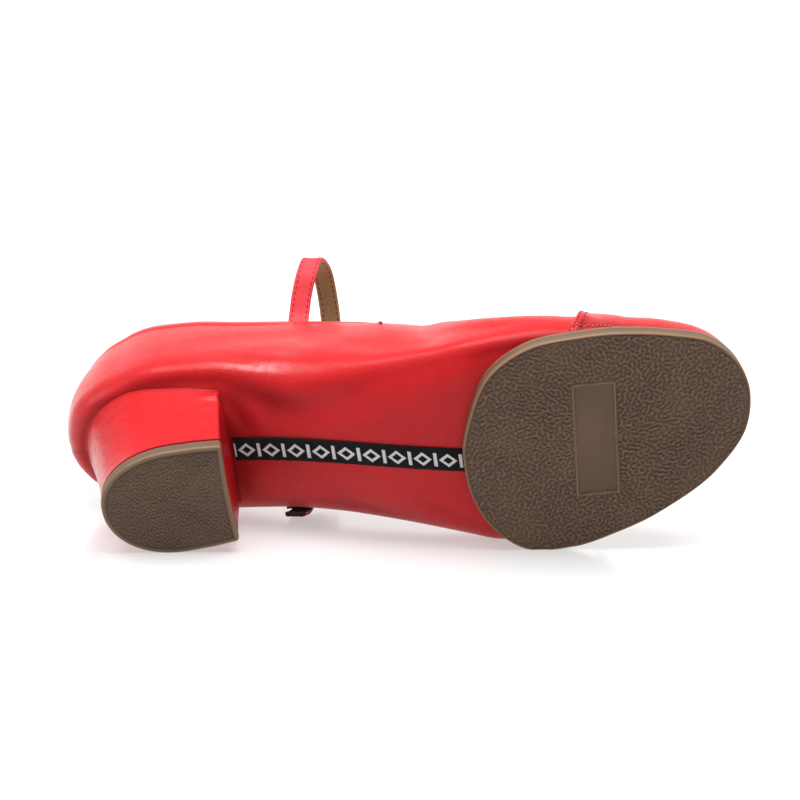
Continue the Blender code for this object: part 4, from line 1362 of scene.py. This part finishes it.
def makeStrap(look):
    route = strapRoute(260)
    across, out = ribbonAxes(route)
    half, thin = look["width"] / 2, look["thick"] / 2
    # a flat section with rounded edges, the leather side first
    around = []
    for turn in np.linspace(0, math.tau, 36, endpoint=False):
        c, s = math.cos(turn), math.sin(turn)
        wide, deep = math.copysign(abs(c) ** 0.22, c), math.copysign(abs(s) ** 0.55, s)
        around.append((wide * half, deep * thin))
    around = np.array(around)

    def section(spot, share=1.0):
        return route[spot] + (around[:, :1] * across[spot] + around[:, 1:] * out[spot]) * share

    rings = [section(0, share) for share in (0.0, 0.6, 0.9)]
    rings += [section(spot) for spot in range(len(route))]
    rings += [section(-1, share) for share in (0.9, 0.6, 0.0)]
    rings = np.array(rings)
    count, columns = rings.shape[:2]
    faces = gridFaces(count, columns, closedColumns=True)
    # the side that faces the foot is lining, and hook cloth near the free end
    facing = outwardSign(route, out)
    mids = around[:, 1] + np.roll(around[:, 1], -1)
    isLining = mids * facing < -1.08 * thin
    slots = np.tile(isLining.astype(int), (count - 1, 1))
    slots[-look["hookRows"] :][:, isLining] = 2
    slots[-4:] = 2
    # darker along both edges; painted shade on the free end, which lies in shadow by the floor
    fold = np.tile(0.25 * (np.abs(around[:, 0]) > half * 0.93), (count, 1))
    fold[-14:] = 0.9
    kept = {"fold": fold.ravel()}
    looks = [strapLeather, lining, hookCloth]
    return makePiece("instepStrap", rings.reshape(-1, 3), faces, looks, slots.ravel(), kept)


strap = makeStrap(strapLook)
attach(strap, "root")
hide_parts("strap")


patchLook = {"x": (89.4, 80.2), "z": (67.5, 40), "width": 12.5, "thick": 1.0}  # from its top to its foot


def makePatch(look):
    ends = np.linspace(0, 1, 40)
    xs, zs = (first + (last - first) * ends for first, last in (look["x"], look["z"]))
    across = np.linspace(-0.5, 0.5, 12) * look["width"]
    x = xs[:, None] + across[None]
    z = np.repeat(zs[:, None], len(across), 1)
    near, far = (wallPoint(x, z, -1, out) for out in (gap * 0.6, gap + look["thick"]))
    return sheetPiece("hookPatch", far, near, hookCloth)


patch = makePatch(patchLook)
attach(patch, "root")
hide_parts("strap_patch")
print("strap made")


# stitches
def strapStitches():
    route = strapRoute(260)
    across, out = ribbonAxes(route)
    facing = outwardSign(route, out)
    paths = []
    for side, face in ((-1, 1), (1, 1), (-1, -1), (1, -1)):
        high = face * facing * (strapLook["thick"] / 2 - 0.04)
        paths.append(route + across * side * (strapLook["width"] / 2 - 1.2) + out * high)
    return paths


threadLook = {
    "at": (119.5, 53.0),  # x, z on the inner side
    "curl": ((0, -0.3, 0), (0.1, 0.8, -0.1), (0.6, 1.5, -0.2), (0.1, 2.0, -0.2), (-0.5, 1.5, -0.1)),
    "radius": 0.45,
}


def threadEnd(look):
    # a short end of thread left standing on the inner side, below the opening
    start = wallPoint(*look["at"], 1, 0)
    path = smoothPath(start + np.array(look["curl"]), 14)
    turns = np.linspace(0, math.tau, 6, endpoint=False)
    circle = np.stack([np.cos(turns), 0 * turns, np.sin(turns)], 1) * look["radius"]
    rings = [path[0] + 0 * circle, *(spot + circle for spot in path), path[-1] + 0 * circle]
    return ringPiece("threadEnd", rings, [redThread])


looseThread = threadEnd(threadLook)
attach(looseThread, "root")
footStitch = {"length": 0.9, "space": 1.5, "thick": 0.45}
footSewn = sewRow("footStitches", [capFoot], paleThread, footStitch)
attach(footSewn, "root")
capSewn = sewRow("capStitches", capRows, darkThread)
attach(capSewn, "root")
sewn = sewRow("strapStitches", strapStitches(), redThread)
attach(sewn, "root")
print("stitches sewn")


# floor, light and camera
floorLook = {"reach": 6.0, "grey": 0.40, "rough": 0.18, "glow": 0.44, "specular": 0.8}


def makeFloor(look):
    mesh = bpy.data.meshes.new("floor")
    far = look["reach"]
    corners = [(-far, -far, 0), (far, -far, 0), (far, far, 0), (-far, far, 0)]
    mesh.from_pydata(corners, [], [(0, 1, 2, 3)])
    shade = Shade("pale floor", (look["grey"],) * 3, look["rough"])
    shade.set("Emission Color", (1.0, 1.0, 1.0))
    shade.set("Emission Strength", look["glow"])
    shade.set("Specular IOR Level", look["specular"])
    mesh.materials.append(shade.material)
    floor = addThing("floor", mesh)
    floor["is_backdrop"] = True


def softLight(name, power, spot, aim, size):
    data = bpy.data.lights.new(name, "AREA")
    data.shape = "RECTANGLE"
    data.size, data.size_y = size
    data.energy = power
    lamp = addThing(name, data)
    lamp.location = spot
    lamp.rotation_euler = (Vector(aim) - Vector(spot)).to_track_quat("-Z", "Y").to_euler()


makeFloor(floorLook)
skyPower = 0.24
lights = {
    # power, place, aim, size
    "top light": (38, (0.0, -0.08, 1.3), (0, 0, 0.03), (1.8, 0.8)),
    "back light": (15, (0.0, 1.7, 0.55), (0, 0, 0.05), (3.2, 1.2)),
    "left light": (6, (-1.5, -0.3, 0.7), (0, 0, 0.04), (0.8, 0.8)),
}
for lightName, lightSizes in lights.items():
    softLight(lightName, *lightSizes)
world = bpy.data.worlds.new("studio")
world.use_nodes = True
world.node_tree.nodes["Background"].inputs["Color"].default_value = (1, 1, 1, 1)
world.node_tree.nodes["Background"].inputs["Strength"].default_value = skyPower
bpy.context.scene.world = world
bpy.context.scene.view_settings.view_transform = "Standard"

cameraLook = {"azimuth": -3.23, "elevation": 16.56, "roll": 1.23, "distance": 1.0, "lens": 120.0}


def makeCamera(look):
    data = bpy.data.cameras.new("camera")
    data.lens, data.sensor_width = look["lens"], 36
    data.clip_start, data.clip_end = 0.05, 30
    camera = addThing("camera", data)
    low, high = (np.array(corner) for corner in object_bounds())
    aim = Vector((low + high) / 2)
    a, e = math.radians(look["azimuth"]), math.radians(look["elevation"])
    back = Vector((math.sin(a) * math.cos(e), -math.cos(a) * math.cos(e), math.sin(e)))
    camera.location = aim + back * look["distance"]
    roll = Matrix.Rotation(math.radians(look["roll"]), 3, "Z")
    turn = (-back).to_track_quat("-Z", "Y").to_matrix() @ roll
    camera.rotation_euler = turn.to_euler()
    bpy.context.scene.camera = camera


makeCamera(cameraLook)
print("scene complete")
